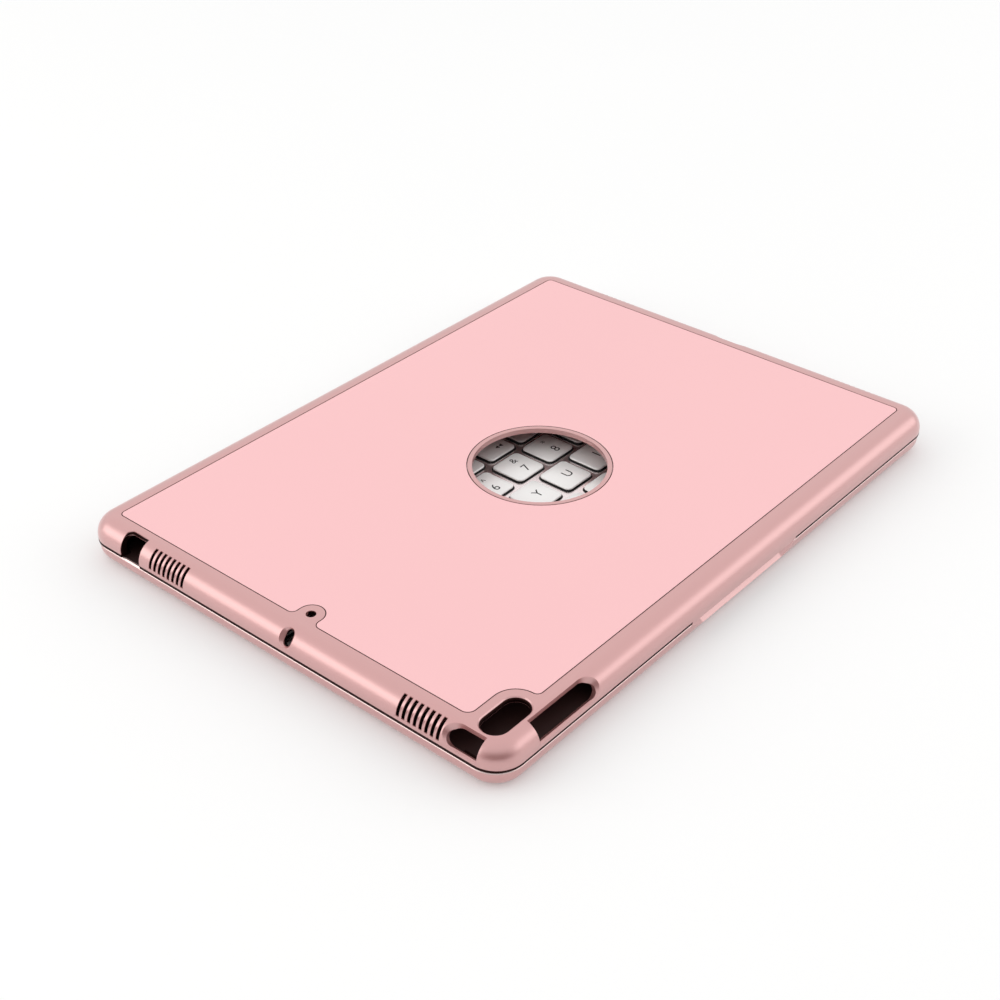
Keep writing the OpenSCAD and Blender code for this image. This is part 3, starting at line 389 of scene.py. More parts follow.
def lacquer(name, colour, regions=()):
    """Metallic lacquer under a clear coat, with fine flakes and a faint orange peel.

    Each region is a function that takes the sheet and gives its mask, then the colour,
    metal share, roughness and coat there."""
    s = Sheet(name)
    flakes = s.noise(5200, detail=1.0)
    tone = s.blend(s.noise(22, detail=3.0), shade(colour, 0.98), shade(colour, 1.02))
    tone = s.blend(s.ramp(flakes, [(0.42, 0.0), (0.62, 1.0)]) * 0.16, tone, shade(colour, 1.13))
    share, satin = 0.5, 0.36
    metal, rough, coat = share, satin + (flakes - 0.5) * 0.06, 1.0
    for mask, tone_there, metal_there, rough_there, coat_there in regions:
        inside = mask(s)
        tone = s.blend(inside, tone, tone_there)
        metal = metal + inside * (metal_there - share)
        rough = rough + inside * (rough_there - satin)
        coat = coat - inside * (1.0 - coat_there)
    peel = s.bump(s.noise(1500, detail=2.0), 0.008 * MM)
    return s.finish(Base_Color=tone, Metallic=metal, Roughness=rough, Coat_Weight=coat,
                    Coat_Roughness=0.30, Coat_IOR=2.4,
                    Normal=s.bump(flakes, 0.004 * MM, under=peel))


def key_well(s):
    """1 on the floor of the key well, under the deck."""
    x, y, z = s.axes()
    level = s.rise(z, WELL_TOP, WELL_TOP - 0.3) * s.rise(z, WELL_BOTTOM, WELL_BOTTOM + 0.2)
    return level * within(s, x, WELL_X, 0.2) * within(s, y, WELL_Y, 0.2)


def deck_margin(s):
    """1 on the deck round the key well, inside the bright rim, where shade is painted dark so that
    the deck seen through the lid's openings reads as shadow.
    """
    x, y, z = s.axes()
    return (s.rise(inset_of(x, y, BASE_OUTLINE), EDGE_HIGHLIGHT_WIDTH, EDGE_HIGHLIGHT_WIDTH + 0.05)
            * s.rise(z, DECK_Z, DECK_Z + 0.1))


def painted_edge_highlight(s):
    """1 on the real chamfer round the upper edge of the base, where a lighter colour is painted as
    a highlight.
    """
    x, y, z = s.axes()
    return (s.rise(z, EDGE_HIGHLIGHT_Z, EDGE_HIGHLIGHT_Z + 0.08)
            * s.rise(inset_of(x, y, BASE_OUTLINE), EDGE_HIGHLIGHT_WIDTH + 0.05, EDGE_HIGHLIGHT_WIDTH))


def anodised(name, colour):
    """Matte bead-blasted aluminium."""
    s = Sheet(name)
    blast = s.noise(4200, detail=2.0, rough=0.6)
    drift = s.noise(9, detail=2.0)
    tone = s.blend(drift, shade(colour, 0.985), shade(colour, 1.015))
    tone = s.blend(blast * 0.18, tone, shade(colour, 0.93))
    return s.finish(Base_Color=tone, Metallic=0.12, Roughness=0.52 + (blast - 0.5) * 0.12,
                    Specular_IOR_Level=0.35, Normal=s.bump(blast, 0.012 * MM))


def cap_lacquer(name, colour, side_shade):
    """Silver-white lacquer on moulded caps, with the sides below the rounded edge painted black as
    painted shade in the gap round the key.
    """
    s = Sheet(name)
    sparkle = s.noise(6500, detail=1.0)
    wear = s.noise(140, detail=3.0)
    tone = s.blend(sparkle * 0.5, shade(colour, 0.97), shade(colour, 1.04))
    shaded = s.rise(s.axes()[2], CAP_SHADE_Z, CAP_SHADE_Z - 0.06)
    tone = s.blend(shaded, tone, side_shade)
    return s.finish(Base_Color=tone, Metallic=0.2 - shaded * 0.2,
                    Roughness=0.36 + (wear - 0.5) * 0.10 + shaded * 0.3,
                    Normal=s.bump(sparkle, 0.004 * MM))


def moulded(name, colour, rough, texture=1800, depth=0.01):
    """Moulded plastic or rubber with a fine texture, its depth in millimetres."""
    s = Sheet(name)
    grain = s.noise(texture, detail=2.0)
    tone = s.blend(s.noise(60, detail=2.0), shade(colour, 0.92), shade(colour, 1.08))
    return s.finish(Base_Color=tone, Roughness=rough + (grain - 0.5) * 0.15,
                    Normal=s.bump(grain, depth * MM))


def felt(name, colour):
    """Short-pile felt, as on the pads that line the bay."""
    s = Sheet(name)
    pile = s.noise(3200, detail=3.0, rough=0.7)
    tone = s.blend(pile, shade(colour, 0.6), shade(colour, 1.7))
    return s.finish(Base_Color=tone, Roughness=0.78, Sheen_Weight=0.12, Specular_IOR_Level=0.3,
                    Normal=s.bump(pile, 0.04 * MM))


def brushed(name, colour, along, rough):
    """Metal brushed along one axis."""
    s = Sheet(name)
    scale = [1.0, 1.0, 1.0]
    scale[along] = 0.02
    lines = s.noise(5000, detail=2.0, where=s.stretched(scale))
    tone = s.blend(lines, shade(colour, 0.86), shade(colour, 1.1))
    return s.finish(Base_Color=tone, Metallic=1.0, Roughness=rough + (lines - 0.5) * 0.18,
                    Normal=s.bump(lines, 0.004 * MM))


def ink(name, colour):
    """Matt printing ink."""
    s = Sheet(name)
    grain = s.noise(4000, detail=1.0)
    tone = s.blend(grain, shade(colour, 0.8), shade(colour, 1.3))
    return s.finish(Base_Color=tone, Roughness=0.6)


def solder_mask(name):
    """Green board with faint copper tracks."""
    s = Sheet(name)
    tracks = s.node("ShaderNodeTexWave", {"bands_direction": "X"},
                    {"Vector": s.place(), "Scale": 140.0, "Distortion": 6.0, "Detail": 1.0,
                     "Detail Scale": 60.0})
    lit = s.ramp(tracks, [(0.62, 0.0), (0.7, 1.0)])
    tone = s.blend(lit * 0.5, (0.012, 0.10, 0.045), (0.05, 0.24, 0.10))
    return s.finish(Base_Color=tone, Roughness=0.35, Coat_Weight=0.3, Normal=s.bump(lit, 0.01 * MM))


def foil(name, colour):
    """Crinkled foil round a battery cell."""
    s = Sheet(name)
    creases = s.noise(160, detail=4.0, rough=0.6)
    tone = s.blend(creases, shade(colour, 0.85), shade(colour, 1.1))
    return s.finish(Base_Color=tone, Metallic=0.85, Roughness=0.32,
                    Normal=s.bump(creases, 0.15 * MM))


def clear_film(name, colour):
    """Hazy polyester film."""
    s = Sheet(name)
    haze = s.noise(700, detail=2.0)
    tone = s.blend(haze, shade(colour, 0.94), shade(colour, 1.05))
    return s.finish(Base_Color=tone, Roughness=0.25 + haze * 0.1)


def paint(node, material):
    """Gives a CAD node's object one material."""
    slots = frame["nodes"][node].data.materials
    slots.clear()
    slots.append(material)


# ---------------------------------------------------------------- mesh helpers


def merged_copy(node):
    """A welded bmesh of a CAD node."""
    bm = bmesh.new()
    bm.from_mesh(frame["nodes"][node].data)
    bmesh.ops.remove_doubles(bm, verts=bm.verts, dist=WELD)
    return bm


def solid_boxes(node):
    """Lowest and highest corner of each separate solid in a CAD node."""
    bm = merged_copy(node)
    left = set(bm.verts)
    boxes = []
    while left:
        group, waiting = set(), [left.pop()]
        while waiting:
            vert = waiting.pop()
            group.add(vert)
            for link in vert.link_edges:
                other = link.other_vert(vert)
                if other in left:
                    left.discard(other)
                    waiting.append(other)
        lo = Vector([min(v.co[i] for v in group) for i in range(3)])
        hi = Vector([max(v.co[i] for v in group) for i in range(3)])
        boxes.append((lo, hi))
    bm.free()
    return sorted(boxes, key=lambda b: (round(b[0].y, 4), b[0].x))


def new_piece(name, bm, material, body, smooth_angle=None):
    """Turns a bmesh into a piece that rides on a body, smooth below an angle in degrees."""
    mesh = bpy.data.meshes.new(name)
    bm.to_mesh(mesh)
    bm.free()
    mesh.materials.append(material)
    piece = bpy.data.objects.new(name, mesh)
    bpy.context.scene.collection.objects.link(piece)
    if smooth_angle is not None:
        mesh.shade_smooth()
        mesh.set_sharp_from_angle(angle=math.radians(smooth_angle))
    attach(piece, body)
    return piece


def body_of_node(node):
    """The body that carries a CAD node."""
    for body, members in frame["record"]["behaviour"]["bodies"].items():
        if node in members:
            return body
    raise RuntimeError("no body holds " + node)


def pour(part, bm):
    """Moves the mesh of one bmesh into another, with its faces turned outwards."""
    bmesh.ops.recalc_face_normals(part, faces=part.faces)
    scratch = bpy.data.meshes.new("scratch")
    part.to_mesh(scratch)
    part.free()
    bm.from_mesh(scratch)
    bpy.data.meshes.remove(scratch)


def points(made):
    """The vertices among the results of an operator."""
    return [g for g in made if isinstance(g, bmesh.types.BMVert)]


def rounded_sheet(lo, hi, corner, steps):
    """A bmesh that holds one flat face with round corners, at the height of the lower corner."""
    part = bmesh.new()
    bmesh.ops.create_grid(part, x_segments=1, y_segments=1, size=0.5)
    bmesh.ops.scale(part, vec=(hi.x - lo.x, hi.y - lo.y, 1), verts=part.verts)
    middle = (lo + hi) / 2
    bmesh.ops.translate(part, vec=(middle.x, middle.y, lo.z), verts=part.verts)
    bmesh.ops.bevel(part, geom=part.verts[:], offset=corner, offset_type="OFFSET", segments=steps,
                    profile=0.5, affect="VERTICES", material=-1)
    return part


def thicken(part, height):
    """Raises the faces of a bmesh into a closed slab and returns the upper ones."""
    grown = bmesh.ops.extrude_face_region(part, geom=part.faces[:])["geom"]
    bmesh.ops.translate(part, vec=(0, 0, height), verts=points(grown))
    return [g for g in grown if isinstance(g, bmesh.types.BMFace)]


def soften(part, edges, width, steps):
    """Rounds edges off over a width."""
    bmesh.ops.bevel(part, geom=edges, offset=width, offset_type="OFFSET", segments=steps,
                    profile=0.5, affect="EDGES", material=-1)


def rounded_block(bm, lo, hi, corner, edge):
    """Adds a block with round corners in plan and a rounded upper edge to a bmesh."""
    part = rounded_sheet(lo, hi, corner, steps=5)
    upper = thicken(part, hi.z - lo.z)
    soften(part, upper[0].edges[:], edge, steps=3)
    pour(part, bm)


def upright_rod(radius, height, middle, segments):
    """A bmesh that holds one closed upright cylinder."""
    part = bmesh.new()
    bmesh.ops.create_cone(part, cap_ends=True, segments=segments, radius1=radius,
                          radius2=radius, depth=height)
    bmesh.ops.translate(part, vec=middle, verts=part.verts)
    return part


def soft_box(bm, lo, hi, edge):
    """Adds a box with all its edges rounded to a bmesh, from corners in millimetres."""
    lo, hi = Vector(lo) * MM, Vector(hi) * MM
    part = bmesh.new()
    bmesh.ops.create_cube(part, size=1.0)
    bmesh.ops.scale(part, vec=hi - lo, verts=part.verts)
    bmesh.ops.translate(part, vec=(lo + hi) / 2, verts=part.verts)
    soften(part, part.edges[:], edge * MM, steps=2)
    pour(part, bm)


# ---------------------------------------------------------------- keys

WELL_FLOOR = 5.8 * MM
CAP_HEIGHT = 2.0 * MM
SURROUND_RAISE = 0.03 * MM
SURROUND_CLEAR = 0.08 * MM  # between the surround and the cap
CAPITAL_SHARE = 0.73  # height of a capital letter in text of size 1
ARROW_RADIUS = 1.15 * MM
INK_SINK = 0.002 * MM

# Where legends sit from the middle of their cap
LETTER_PLACE = (1.2 * MM, 0.2 * MM)
DIGIT_PLACE = (1.3 * MM, -2.6 * MM)
SYMBOL_PLACE = (1.6 * MM, 3.8 * MM)
SKIP_PLACES = [(1.75 * MM, -2.5 * MM), (3.65 * MM, -2.5 * MM)]

# Solid triangles of the arrow legends, each as its place and its turn in degrees
ARROWS = {
    "<": [((0, 0), 180)],
    ">": [((0, 0), 0)],
    "^v": [((0, 3.2 * MM), 90), ((0, -3.2 * MM), -90)],
    "<<": [(place, 180) for place in SKIP_PLACES],
    ">>": [(place, 0) for place in SKIP_PLACES],
}

KEY_NODES = [n for n in frame["nodes"] if n.startswith("key_") and n != "key_plate"]
KEY_NODES += ["number_keys", "function_keys", "punctuation_keys", "modifier_keys"]

# Legends by row from the front edge, from left to right, as (middle, upper symbol)
LEGEND_ROWS = [
    ["fn", "ctrl", "alt", "cmd", "", "cmd", "alt", "<", "^v", ">"],
    ["shift", "Z", "X", "C", "V", "B", "N", "M", (",", "<"), (".", ">"), ("/", "?"), "shift"],
    ["caps", "A", "S", "D", "F", "G", "H", "J", "K", "L", (";", ":"), ("'", '"'), "enter"],
    ["tab", "Q", "W", "E", "R", "T", "Y", "U", "I", "O", "P", ("[", "{"), ("]", "}"), ("\\", "|")],
    [("`", "~"), ("1", "!"), ("2", "@"), ("3", "#"), ("4", "$"), ("5", "%"), ("6", "^"), ("7", "&"),
     ("8", "*"), ("9", "("), ("0", ")"), ("-", "_"), ("=", "+"), "del"],
    ["esc", "o-", "o+", "[]", "O", "||", "<|", "<<", ">>", ">|", "-", "+", "=", "lock"],
]


def key_table():
    """Every key as (node, lowest corner, highest corner, legend)."""
    rows = {}
    for node in KEY_NODES:
        for lo, hi in solid_boxes(node):
            middle = round((lo.y + hi.y) / 2, 3)
            rows.setdefault(middle, []).append((node, lo, hi))
    table = []
    for middle, legends in zip(sorted(rows), LEGEND_ROWS):
        row = sorted(rows[middle], key=lambda key: key[1].x)
        table += [(*key, legend) for key, legend in zip(row, legends)]
    return table


class CASE_OT_key_caps(bpy.types.Operator):
    """Replace each plain key with a cap that has softened edges"""

    bl_idname = "case.key_caps"
    bl_label = "Key Caps"

    def execute(self, context):
        finish, detail, _ = settings()
        # The caps' lower sides are painted black as shade
        material = cap_lacquer("cap_lacquer", finish.cap, CAP_SHADE_BLACK)
        for node in KEY_NODES:
            bm = bmesh.new()
            for lo, hi in solid_boxes(node):
                under = Vector((lo.x, lo.y, hi.z - CAP_HEIGHT))
                rounded_block(bm, under, hi, detail.cap_corner, detail.cap_edge)
            piece = new_piece("cap_" + node.replace("key_", ""), bm, material,
                              body_of_node(node), smooth_angle=40)
            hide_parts(node)
        return {"FINISHED"}


class CASE_OT_key_surrounds(bpy.types.Operator):
    """Lay a thin black ring on the well floor round the foot of each key, as painted shade in the
    gap round the key
    """

    bl_idname = "case.key_surrounds"
    bl_label = "Key Surrounds"

    def execute(self, context):
        _, detail, _ = settings()
        bm = bmesh.new()
        gap = detail.key_gap
        grow = Vector((gap, gap, 0))
        for _, lo, hi, _ in key_table():
            self.surround(bm, lo - grow, hi + grow, detail.cap_corner + gap, gap - SURROUND_CLEAR)
        # A black ring painted as shade in the gap round each key
        new_piece("key_surrounds", bm, moulded("surround_rubber", GAP_SHADE_BLACK, 0.55),
                  "base")
        return {"FINISHED"}

    def surround(self, bm, lo, hi, corner, width):
        part = rounded_sheet(Vector((lo.x, lo.y, WELL_FLOOR)), hi, corner, steps=4)
        middle = part.faces[:]
        bmesh.ops.inset_region(part, faces=middle, thickness=width, use_boundary=True,
                               use_even_offset=True)
        bmesh.ops.delete(part, geom=middle, context="FACES")
        thicken(part, SURROUND_RAISE)
        pour(part, bm)


def glyph_mesh(text, height):
    """Flat text whose capitals are that high."""
    curve = bpy.data.curves.new("glyph", "FONT")
    curve.body = text
    curve.size = height / CAPITAL_SHARE
    curve.align_x = "CENTER"
    curve.align_y = "CENTER"
    curve.resolution_u = 5
    holder = bpy.data.objects.new("glyph", curve)
    bpy.context.scene.collection.objects.link(holder)
    bpy.context.view_layer.update()
    depsgraph = bpy.context.evaluated_depsgraph_get()
    mesh = bpy.data.meshes.new_from_object(holder.evaluated_get(depsgraph))
    bpy.data.objects.remove(holder)
    bpy.data.curves.remove(curve)
    return mesh


def add_glyph(bm, text, height, spot, thickness):
    """Adds raised text to a bmesh, with its middle and its foot at a spot."""
    mesh = glyph_mesh(text, height)
    if not mesh.vertices:
        return
    xs = [v.co.x for v in mesh.vertices]
    ys = [v.co.y for v in mesh.vertices]
    part = bmesh.new()
    part.from_mesh(mesh)
    bpy.data.meshes.remove(mesh)
    bmesh.ops.remove_doubles(part, verts=part.verts, dist=WELD)
    shift = (spot.x - (min(xs) + max(xs)) / 2, spot.y - (min(ys) + max(ys)) / 2, spot.z)
    bmesh.ops.translate(part, vec=shift, verts=part.verts)
    thicken(part, thickness)
    pour(part, bm)


def add_arrow(bm, spot, thickness, turn):
    """Adds a small solid triangle that points along X, turned by an angle in degrees."""
    made = bmesh.ops.create_cone(bm, cap_ends=True, segments=3, radius1=ARROW_RADIUS,
                                 radius2=ARROW_RADIUS, depth=thickness)
    spin = Matrix.Rotation(math.radians(turn), 4, "Z")
    first = made["verts"][0].co
    align = Matrix.Rotation(-math.atan2(first.y, first.x), 4, "Z")
    place = Matrix.Translation((spot.x, spot.y, spot.z + thickness / 2)) @ spin @ align
    bmesh.ops.transform(bm, matrix=place, verts=made["verts"])


class CASE_OT_key_legends(bpy.types.Operator):
    """Print the legends on the key caps"""

    bl_idname = "case.key_legends"
    bl_label = "Key Legends"

    def execute(self, context):
        finish, detail, _ = settings()
        material = ink("legend_ink", finish.legend)
        meshes = {}
        for node, lo, hi, legend in key_table():
            if not legend:
                continue
            bm = meshes.setdefault(node, bmesh.new())
            spot = Vector(((lo.x + hi.x) / 2, (lo.y + hi.y) / 2, hi.z - INK_SINK))
            self.print_legend(bm, detail, legend, spot)
        for node, bm in meshes.items():
            new_piece("legend_" + node.replace("key_", ""), bm, material,
                      body_of_node(node))
        return {"FINISHED"}

    def print_legend(self, bm, detail, legend, spot):
        def shifted(place):
            return spot + Vector((*place, 0))

        if isinstance(legend, tuple):
            digit, symbol = legend
            add_glyph(bm, digit, detail.letter_height, shifted(DIGIT_PLACE), detail.ink)
            add_glyph(bm, symbol, detail.symbol_height, shifted(SYMBOL_PLACE), detail.ink)
        elif legend in ARROWS:
            for place, turn in ARROWS[legend]:
                add_arrow(bm, shifted(place), detail.ink, turn)
        elif len(legend) == 1:
            add_glyph(bm, legend, detail.letter_height, shifted(LETTER_PLACE), detail.ink)
        else:
            add_glyph(bm, legend, detail.word_height, spot, detail.ink)


# ---------------------------------------------------------------- shells

SEAM_DEPTH = 0.12 * MM
LEVEL = 0.01 * MM  # two heights closer than this are one level
FLAT_ANGLE = math.radians(0.5)


class CASE_OT_shells(bpy.types.Operator):
    """Lacquer the lid shell and the keyboard base"""

    bl_idname = "case.shells"
    bl_label = "Shells"

    def execute(self, context):
        finish, _, _ = settings()
        # The lid shell gets painted shade inside its wall and openings and along its lower rim
        paint("lid_shell", lacquer("shell_lacquer", finish.shell, [
            (lid_interior, finish.painted_shade, 1.0, 0.55, 0.0)]))
        # The base gets painted shade on the deck round the key well and a painted highlight on the
        # chamfer of its upper edge
        paint("base_case", lacquer("base_lacquer", finish.shell, [
            (deck_margin, finish.painted_shade, 0.0, 0.5, 0.0),
            (key_well, finish.web, 0.9, 0.24, 0.0),
            (painted_edge_highlight, finish.cut, 0.7, 0.32, 0.4)]))
        for node in ("hinge_shutter", "bottom_cover"):
            paint(node, lacquer(node + "_lacquer", finish.shell))
        return {"FINISHED"}


class CASE_OT_back_plate(bpy.types.Operator):
    """Make the anodised back plate with a seam round its edge, painted dark as shade in the gap"""

    bl_idname = "case.back_plate"
    bl_label = "Back Plate"

    def execute(self, context):
        finish, detail, _ = settings()
        bm = merged_copy("back_plate")
        bmesh.ops.dissolve_limit(bm, angle_limit=FLAT_ANGLE, verts=bm.verts, edges=bm.edges)
        top = max(v.co.z for v in bm.verts)
        upper = [f for f in bm.faces if all(v.co.z > top - LEVEL for v in f.verts)]
        band = bmesh.ops.inset_region(bm, faces=upper, thickness=detail.seam, use_boundary=True,
                                      use_even_offset=True)["faces"]
        outer = {v for f in band for v in f.verts} - {v for f in upper for v in f.verts}
        bmesh.ops.translate(bm, vec=(0, 0, -SEAM_DEPTH), verts=list(outer))
        rim = {e for f in band for e in f.edges if any(g in upper for g in e.link_faces)}
        bmesh.ops.delete(bm, geom=upper, context="FACES")
        bmesh.ops.triangle_fill(bm, use_beauty=True, edges=list(rim), normal=(0, 0, 1))
        bmesh.ops.recalc_face_normals(bm, faces=bm.faces)
        for face in bm.faces:
            # Faces below the top form the seam, painted dark as shade
            face.material_index = int(min(v.co.z for v in face.verts) < top - LEVEL)
        piece = new_piece("plate_anodised", bm, anodised("plate_anodised", finish.plate),
                          "lid", smooth_angle=12)
        piece.data.materials.append(moulded("seam_sealant", SEAM_SHADE_BROWN, 0.6))
        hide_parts("back_plate")
        return {"FINISHED"}


# ---------------------------------------------------------------- fittings

RUBBER_GRAIN = {"texture": 1500, "depth": 0.03}


class CASE_OT_fittings(bpy.types.Operator):
    """Finish the hinge, the pads, the inner screws and the inner parts"""

    bl_idname = "case.fittings"
    bl_label = "Fittings"

    def execute(self, context):
        steel = brushed("hinge_steel", (0.56, 0.55, 0.54), ALONG_X, 0.28)
        screw = brushed("screw_steel", SCREW_STEEL, ALONG_Z, 0.34)
        film = clear_film("polyester_film", (0.62, 0.64, 0.62))
        finishes = {
            "plate_adhesive": clear_film("adhesive_film", (0.55, 0.5, 0.48)),
            "bay_pads": felt("pad_foam", (0.05, 0.045, 0.046)),
            "lid_hinge_leaves": steel,
            "base_hinge_leaf": steel,
            "hinge_shafts": brushed("shaft_steel", (0.62, 0.61, 0.6), ALONG_X, 0.2),
            "friction_sleeves": brushed("sleeve_brass", (0.68, 0.47, 0.2), ALONG_X, 0.25),
            "lid_leaf_screws": screw,
            "inner_screws": screw,
            "rim_bumpers": moulded("foot_rubber", RUBBER_BLACK, 0.72, **RUBBER_GRAIN),
            "key_plate": brushed("plate_steel", (0.52, 0.52, 0.53), ALONG_X, 0.36),
            "contact_membrane": film,
            "dome_sheet": moulded("dome_silicone", (0.62, 0.6, 0.56), 0.45),
            "scissor_frames": moulded("scissor_nylon", (0.7, 0.7, 0.68), 0.4),
            "battery": foil("battery_foil", (0.52, 0.52, 0.54)),
            "battery_leads": moulded("lead_sleeve", (0.42, 0.03, 0.025), 0.4),
            "control_board": solder_mask("board_mask"),
            "ribbon_cable": film,
            "usb_socket": brushed("socket_steel", (0.6, 0.59, 0.58), ALONG_X, 0.25),
            "switch_body": moulded("black_moulding", SOFT_BLACK, 0.42),
            "status_lenses": moulded("lens_white", (0.85, 0.85, 0.83), 0.2),
            "closing_magnets": brushed("magnet_nickel", (0.66, 0.64, 0.6), ALONG_X, 0.2),
        }
        for node, material in finishes.items():
            paint(node, material)
        return {"FINISHED"}


class CASE_OT_feet(bpy.types.Operator):
    """Round off the lower edge of the four rubber feet"""

    bl_idname = "case.feet"
    bl_label = "Feet"

    def execute(self, context):
        _, detail, _ = settings()
        bm = bmesh.new()
        for lo, hi in solid_boxes("rubber_feet"):
            part = upright_rod((hi.x - lo.x) / 2, hi.z - lo.z, (lo + hi) / 2, segments=48)
            middle = (lo.z + hi.z) / 2
            lower = [e for e in part.edges if all(v.co.z < middle for v in e.verts)]
            soften(part, lower, detail.foot_edge, steps=4)
            pour(part, bm)
        piece = new_piece("foot_pads", bm,
                          moulded("pad_rubber", RUBBER_BLACK, 0.72, **RUBBER_GRAIN),
                          "base", smooth_angle=30)
        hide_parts("rubber_feet")
        return {"FINISHED"}


SCREW_HEAD_HEIGHT = 0.4 * MM
SCREW_SHAFT_RADIUS = 0.8 * MM
RECESS_ARM = 0.15  # half width of the cross recess, as a share of the head's radius
RECESS_REACH = 0.62
RECESS_DEPTH = 0.65  # share of the head's height
RECESS_TAPER = 0.8


class CASE_OT_cover_screws(bpy.types.Operator):
    """Cut a cross recess into the heads of the screws in the bottom cover"""

    bl_idname = "case.cover_screws"
    bl_label = "Cover Screws"

    def execute(self, context):
        bm = bmesh.new()
        for lo, hi in solid_boxes("cover_screws"):
            middle = (lo + hi) / 2
            self.head(bm, Vector((middle.x, middle.y, lo.z)), (hi.x - lo.x) / 2)
            foot = lo.z + SCREW_HEAD_HEIGHT
            shaft = upright_rod(SCREW_SHAFT_RADIUS, hi.z - foot,
                                (middle.x, middle.y, (foot + hi.z) / 2), segments=24)
            pour(shaft, bm)
        piece = new_piece("cover_screw_heads", bm,
                          brushed("head_steel", SCREW_STEEL, ALONG_Z, 0.34),
                          "base", smooth_angle=30)
        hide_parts("cover_screws")
        return {"FINISHED"}

    def head(self, bm, foot, radius):
        part = bmesh.new()
        bmesh.ops.create_circle(part, cap_ends=True, segments=32, radius=radius)
        arm, reach = RECESS_ARM * radius, RECESS_REACH * radius
        for axis in (Vector((1, 0, 0)), Vector((0, 1, 0))):
            for offset in (-reach, -arm, arm, reach):
                bmesh.ops.bisect_plane(part, geom=part.verts[:] + part.edges[:] + part.faces[:],
                                       plane_co=axis * offset, plane_no=axis)
        rim = [e for e in part.edges if e.is_boundary]
        cross = []
        for face in part.faces:
            near, far = sorted(abs(c) for c in face.calc_center_median().xy)
            if near < arm and far < reach:
                cross.append(face)
        sunk = points(bmesh.ops.extrude_face_region(part, geom=cross)["geom"])
        bmesh.ops.delete(part, geom=[face for face in cross if face.is_valid], context="FACES")
        bmesh.ops.scale(part, vec=(RECESS_TAPER, RECESS_TAPER, 1), verts=sunk)
        bmesh.ops.translate(part, vec=(0, 0, RECESS_DEPTH * SCREW_HEAD_HEIGHT), verts=sunk)
        wall = points(bmesh.ops.extrude_edge_only(part, edges=rim)["geom"])
        bmesh.ops.translate(part, vec=(0, 0, SCREW_HEAD_HEIGHT), verts=wall)
        bmesh.ops.holes_fill(part, edges=[e for e in part.edges if e.is_boundary])
        bmesh.ops.translate(part, vec=foot, verts=part.verts)
        pour(part, bm)


# Small shapes on the right side, in millimetres
KNOB_DEPTH = 0.8
STEM_OVERLAP = 0.1
STEM_HALF = (0.9, 0.35)  # half the width along Y and half the height
RIB_COUNT = 5
RIB_PITCH, RIB_WIDTH, RIB_LENGTH = 0.6, 0.3, 0.40
RIB_RAISE, RIB_MARGIN = 0.22, 0.14
TONGUE_HALF = (3.2, 0.35)
TONGUE_BACK, TONGUE_FRONT = 1.0, 5.0  # clear of the socket's back and of its mouth
CONTACT_COUNT = 5
CONTACT_PITCH, CONTACT_HALF = 1.2, (0.3, 0.40)
CONTACT_BACK, CONTACT_FRONT = 1.4, 5.5


def spread(middle, count, pitch):
    """An odd count of places at a pitch, on both sides of a middle."""
    return [middle + (step - (count - 1) // 2) * pitch for step in range(count)]


def bar(bm, start, end, middle, height, half, edge):
    """Adds a soft-edged bar along X, from half its width and half its height."""
    across, up = half
    soft_box(bm, (start, middle - across, height - up), (end, middle + across, height + up), edge)


class CASE_OT_side_controls(bpy.types.Operator):
    """Shape the ribbed power slider and the tongue of the charging socket"""

    bl_idname = "case.side_controls"
    bl_label = "Side Controls"

    def execute(self, context):
        finish, _, _ = settings()
        self.slider(finish)
        self.socket()
        return {"FINISHED"}

    def slider(self, finish):
        lo, hi = (Vector(corner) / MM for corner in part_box("power_switch"))
        middle, height = (lo.y + hi.y) / 2, (lo.z + hi.z) / 2
        grip = hi.x - KNOB_DEPTH
        bm = bmesh.new()
        bar(bm, lo.x, grip + STEM_OVERLAP, middle, height, STEM_HALF, edge=0.08)
        soft_box(bm, (grip, lo.y, lo.z), (hi.x - RIB_RAISE, hi.y, hi.z), edge=0.15)
        rib_half = (RIB_WIDTH / 2, (hi.z - lo.z) / 2 - RIB_MARGIN)
        for rib in spread(middle, RIB_COUNT, RIB_PITCH):
            bar(bm, hi.x - RIB_LENGTH, hi.x, rib, height, rib_half, edge=0.1)
        slider = new_piece("slider_knob", bm, lacquer("slider_lacquer", finish.shell),
                           "power_slider", smooth_angle=30)
        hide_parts("power_switch")

    def socket(self):
        lo, hi = (Vector(corner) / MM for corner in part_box("usb_socket"))
        middle, height = (lo.y + hi.y) / 2, (lo.z + hi.z) / 2
        bm = bmesh.new()
        bar(bm, lo.x + TONGUE_BACK, hi.x - TONGUE_FRONT, middle, height, TONGUE_HALF,
            edge=0.15)
        new_piece("socket_tongue", bm, moulded("tongue_moulding", SOFT_BLACK, 0.42),
                  "base", smooth_angle=30)
        bm = bmesh.new()
        for strip in spread(middle, CONTACT_COUNT, CONTACT_PITCH):
            bar(bm, lo.x + CONTACT_BACK, hi.x - CONTACT_FRONT, strip, height, CONTACT_HALF,
                edge=0.04)
        new_piece("socket_contacts", bm, brushed("contact_gold", CONTACT_GOLD, ALONG_X, 0.22),
                  "base", smooth_angle=30)


# ---------------------------------------------------------------- stage

